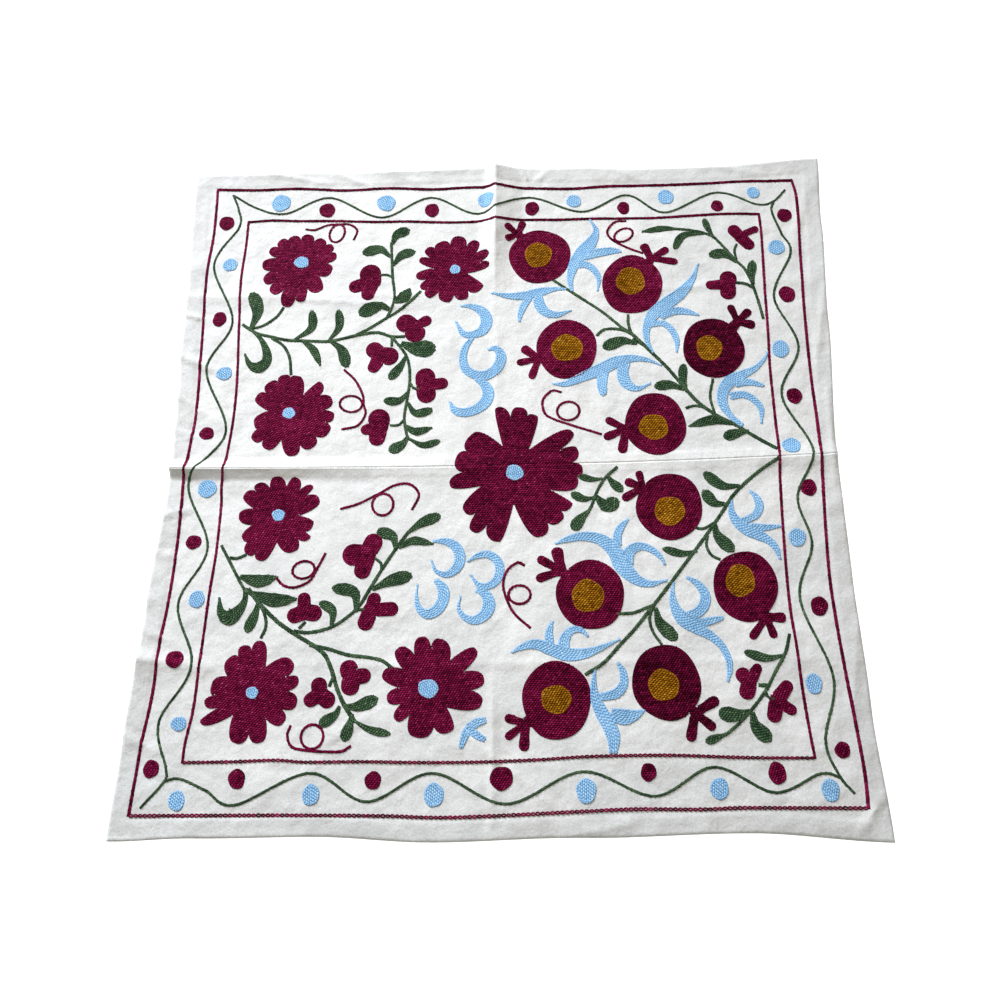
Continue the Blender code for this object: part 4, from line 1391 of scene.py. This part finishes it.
def thread_material(name, ramp_rows):
    """Cotton and silk floss: a ramp of tones, a soft sheen and the twist of its strands."""
    material, shader, place = new_material(name, {
        "Roughness": 0.7, "Specular IOR Level": 0.03, "Sheen Weight": 0.04, "Sheen Roughness": 0.4,
        "Sheen Tint": (*ramp_rows[-1][1:], 1.0),
    })
    fade = remapped(noise(place, scale=26.0, detail=3.0), (0.3, 0.7), (-0.07, 0.07))
    tone = joined("ADD", painted(shader, "tone"), fade)
    strands = relief(noise(place, scale=2200.0), strength=0.35, distance=0.0002)
    feed(shader, {"Base Color": coloured(tone, ramp_rows), "Normal": strands})
    return material


def cotton_material():
    """Undyed plain-weave cotton: slubs and soft creases, faint uneven shade, matt with a little fuzz, and a
    band of painted shade along the hem.
    """
    material, shader, place = new_material("cotton_weave", {
        "Roughness": 0.9, "Specular IOR Level": 0.2, "Sheen Weight": 0.08, "Sheen Roughness": 0.6,
    })
    threads = []
    for direction in ("X", "Y"):
        node = shader.id_data.nodes.new("ShaderNodeTexWave")
        node.bands_direction = direction
        feed(node, {"Vector": place, "Scale": 420.0, "Distortion": 1.6, "Detail": 2.0, "Detail Scale": 0.6})
        threads.append(node.outputs["Fac"])
    crumple = relief(noise(place, scale=34.0, detail=5.0), strength=0.9, distance=0.0036)
    ridges = noise(place, scale=11.0, detail=3.0, roughness=0.45, distortion=0.6, kind="RIDGED_MULTIFRACTAL")
    creases = relief(ridges, strength=0.8, distance=0.0022, Normal=crumple)
    weave = relief(joined("ADD", *threads), strength=0.3, distance=0.00012, Normal=creases)
    shade = noise(place, scale=9.0, detail=6.0)
    flecks = remapped(noise(place, scale=620.0), (0.3, 0.7), (0.87, 1.09))
    # Painted shade along the hem, made patchy by the shade noise, darkens the colour by up to 14 percent
    hem_painted_shade = joined("MULTIPLY", painted(shader, "hem"), remapped(shade, (0.35, 0.65), (0.25, 1.0)))
    shading = joined("MULTIPLY", flecks, remapped(hem_painted_shade, (0.0, 1.0), (1.0, 0.86)))
    colour = shader.id_data.nodes.new("ShaderNodeVectorMath")
    colour.operation = "SCALE"
    feed(colour, {"Vector": coloured(shade, COTTON_RAMP), "Scale": shading})
    feed(shader, {"Base Color": colour.outputs["Vector"], "Normal": weave})
    return material


def floor_material():
    """A plain matt white floor."""
    material, shader, place = new_material("studio_floor", {"Roughness": 0.9, "Emission Strength": 0.9})
    tones = coloured(noise(place, scale=60.0), FLOOR_RAMP)
    feed(shader, {"Base Color": tones, "Emission Color": tones})
    return material


def make_floor():
    mesh = bpy.data.meshes.new("studio_floor")
    side = FLOOR_HALF_SIDE
    corners = [(-side, -side, 0.0), (side, -side, 0.0), (side, side, 0.0), (-side, side, 0.0)]
    mesh.from_pydata(corners, [], [(0, 1, 2, 3)])
    mesh.materials.append(floor_material())
    floor = bpy.data.objects.new("studio_floor", mesh)
    bpy.context.scene.collection.objects.link(floor)
    floor.location.z = -FLOOR_DROP


def add_light(name, place, aim, size, spread, power, colour):
    """A soft square light."""
    light = bpy.data.lights.new(name, "AREA")
    light.shape = "SQUARE"
    light.size = size
    light.energy = power
    light.color = colour
    light.spread = math.radians(spread)
    item = bpy.data.objects.new(name, light)
    bpy.context.scene.collection.objects.link(item)
    item.location = place
    item.rotation_mode = "QUATERNION"
    item.rotation_quaternion = (Vector(aim) - item.location).to_track_quat("-Z", "Y")
    item.visible_camera = False


def light_scene():
    world = bpy.data.worlds.new("studio")
    bpy.context.scene.world = world
    world.use_nodes = True
    feed(world.node_tree.nodes["Background"], {"Color": SKY_COLOUR, "Strength": SKY_STRENGTH})
    for light in LIGHTS:
        add_light(*light)


def make_camera():
    camera = bpy.data.objects.new("camera", bpy.data.cameras.new("camera"))
    bpy.context.scene.collection.objects.link(camera)
    camera.matrix_world = Matrix([*zip(*CAMERA_AXES, CAMERA_PLACE), (0.0, 0.0, 0.0, 1.0)])
    camera.data.sensor_width = SENSOR_WIDTH
    camera.data.lens = LENS
    camera.data.clip_start = CLIP_START
    bpy.context.scene.camera = camera


def make_borders():
    for name, line, half_width in (
        ("outer_line", OUTER_LINE, OUTER_HALF_WIDTH),
        ("inner_line", INNER_LINE, INNER_HALF_WIDTH),
    ):
        forms = []
        for side, (share, tone, is_open) in zip(between_corners(rows_of(2, line)), LINE_SIDES):
            links = chained(smooth_run(side, LINE_STEP), half_width * share, tone=tone)
            forms += [chain_form(links)] if is_open else bedded_chain_form(links)
        embroider(name, "burgundy_thread", *forms)
    forms = []
    for vine in VINES:
        forms += bedded_chain_form(chained(smooth_run(rows_of(2, vine), LINE_STEP), VINE_HALF_WIDTH))
    embroider("border_vine", "green_thread", *forms)


def make_dots():
    for name, thread, dots, degrees in (
        ("blue_dots", "blue_thread", BLUE_DOTS, BLUE_DEGREES),
        ("burgundy_dots", "burgundy_thread", BURGUNDY_DOTS, BURGUNDY_DEGREES),
    ):
        forms = []
        for dot in np.reshape(dots, (-1, 4)):
            loop = wavy_ring(*dot, DOT_WOBBLE)
            forms += worked_shape([loop], degrees + dice.uniform(-DOT_TURN, DOT_TURN))
        embroider(name, thread, *forms)


def make_flowers():
    eyes = []
    for name, (x, y, eye_half_width, degrees, tone, petals) in FLOWERS.items():
        middle = np.array((x, y)) * CM
        outline = petal_ring(middle, np.reshape(petals, (-1, 4)) * (1.0, CM, 1.0, CM))
        eye = wavy_ring(x, y, eye_half_width, eye_half_width * EYE_HEIGHT, EYE_WOBBLE)
        forms = worked_shape([outline], degrees, tone, holes=[shrunk(eye, middle, EYE_HOLE)])
        embroider(name, "burgundy_thread", *forms)
        eyes += worked_shape([eye], EYE_DEGREES, edge_tone=EYE_EDGE_TONE)
    embroider("flower_eyes", "blue_thread", *eyes, clearance=OVERLAY_CLEARANCE)


def make_buds():
    forms = []
    for x, y, *lobes in BUDS:
        outlines = [lobe((x, y), *row) for row in lobes]
        forms += worked_shape(outlines, dice.uniform(-BUD_TURN, BUD_TURN))
    embroider("buds", "burgundy_thread", *forms)


def make_pomegranates():
    hearts = []
    for number, (fruit, heart, joint, *points) in enumerate(POMEGRANATES, start=1):
        fruit_loop = wavy_ring(*fruit, FRUIT_WOBBLE, RING_POINTS)
        heart_loop = wavy_ring(*heart, HEART_WOBBLE, RING_POINTS)
        hole = shrunk(heart_loop, np.array(heart[:2]) * CM, HEART_HOLE)
        neck = [mix(np.array(fruit[:2]), np.array(joint), share) for share in NECK_ENDS]
        runs = [leaf_run(neck, NECK_HALF_WIDTH, "neck")]
        runs += [leaf_run((*joint, x, y), width, "crown") for x, y, width in points]
        outlines = [fruit_loop] + [blade(run) for run in runs]
        degrees = dice.uniform(-FRUIT_TURN, FRUIT_TURN)
        forms = worked_shape(outlines, degrees, DARK_TONES.get(number, 0.0), holes=[hole])
        embroider("pomegranate_%d" % number, "burgundy_thread", *forms)
        degrees = dice.uniform(-HEART_TURN, HEART_TURN)
        hearts += worked_shape([heart_loop], degrees, edge_tone=HEART_EDGE_TONE)
    embroider("pomegranate_hearts", "ochre_thread", *hearts, clearance=OVERLAY_CLEARANCE)


def make_leaves():
    quarters = {}
    runs = []
    for number, (*points, half_width) in enumerate(LEAVES):
        profile = "pointed" if number in POINTED_LEAVES else "round"
        runs.append(leaf_run(points, half_width, profile))
    runs += [smooth_run(rows_of(3, leaf), LEAF_STEP) for leaf in HOOKED_LEAVES]
    for run in runs:
        side = "left" if run[0, 0] < 0.0 else "right"
        half = "upper" if run[0, 1] > 0.0 else "lower"
        forms = worked_blades([run], FILL_STITCH)
        quarters.setdefault("leaves_%s_%s" % (half, side), []).extend(forms)
    for name, forms in quarters.items():
        embroider(name, "green_thread", *forms)


def make_scrolls():
    for name, blades in SCROLLS.items():
        runs = [smooth_run(rows_of(3, rows), SCROLL_STEP) for rows in blades]
        embroider(name, "blue_thread", *worked_blades(runs, SCROLL_STITCH))


def make_stems():
    for name, stems in STEMS.items():
        forms = []
        for half_width, *points in stems:
            run = smooth_run(rows_of(2, points), LINE_STEP)
            forms += bedded_chain_form(chained(run, half_width * CM, link=STEM_LINK))
        embroider(name, "green_thread", *forms)


def make_curls():
    forms = []
    for points, (x, y, half_width, half_height, lean) in CURLS:
        run = smooth_run(rows_of(2, points), LINE_STEP)
        loop = ring((x * CM, y * CM), half_width * CM, half_height * CM, LOOP_POINTS, lean)
        forms += bedded_chain_form(chained(run, CURL_HALF_WIDTH, link=CURL_LINK))
        forms += bedded_chain_form(chained(loop, CURL_HALF_WIDTH, closed=True, link=CURL_LINK))
    embroider("curls", "burgundy_thread", *forms)


dice = np.random.default_rng(17)
materials = {name: thread_material(name, rows) for name, rows in THREADS.items()}

make_camera()
light_scene()
make_floor()

cotton = cotton_material()
upper_cloth = cloth_panel("upper_cloth", top_side, 1.0, cotton)
lower_cloth = cloth_panel("lower_cloth", bottom_side, -1.0, cotton)
for cloth, node in ((upper_cloth, "upper_panel"), (lower_cloth, "lower_panel")):
    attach(cloth, "root")
    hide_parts(node)

make_borders()
make_dots()
make_flowers()
make_buds()
make_pomegranates()
make_leaves()
make_scrolls()
make_stems()
make_curls()

bpy.context.scene.view_settings.view_transform = "Standard"
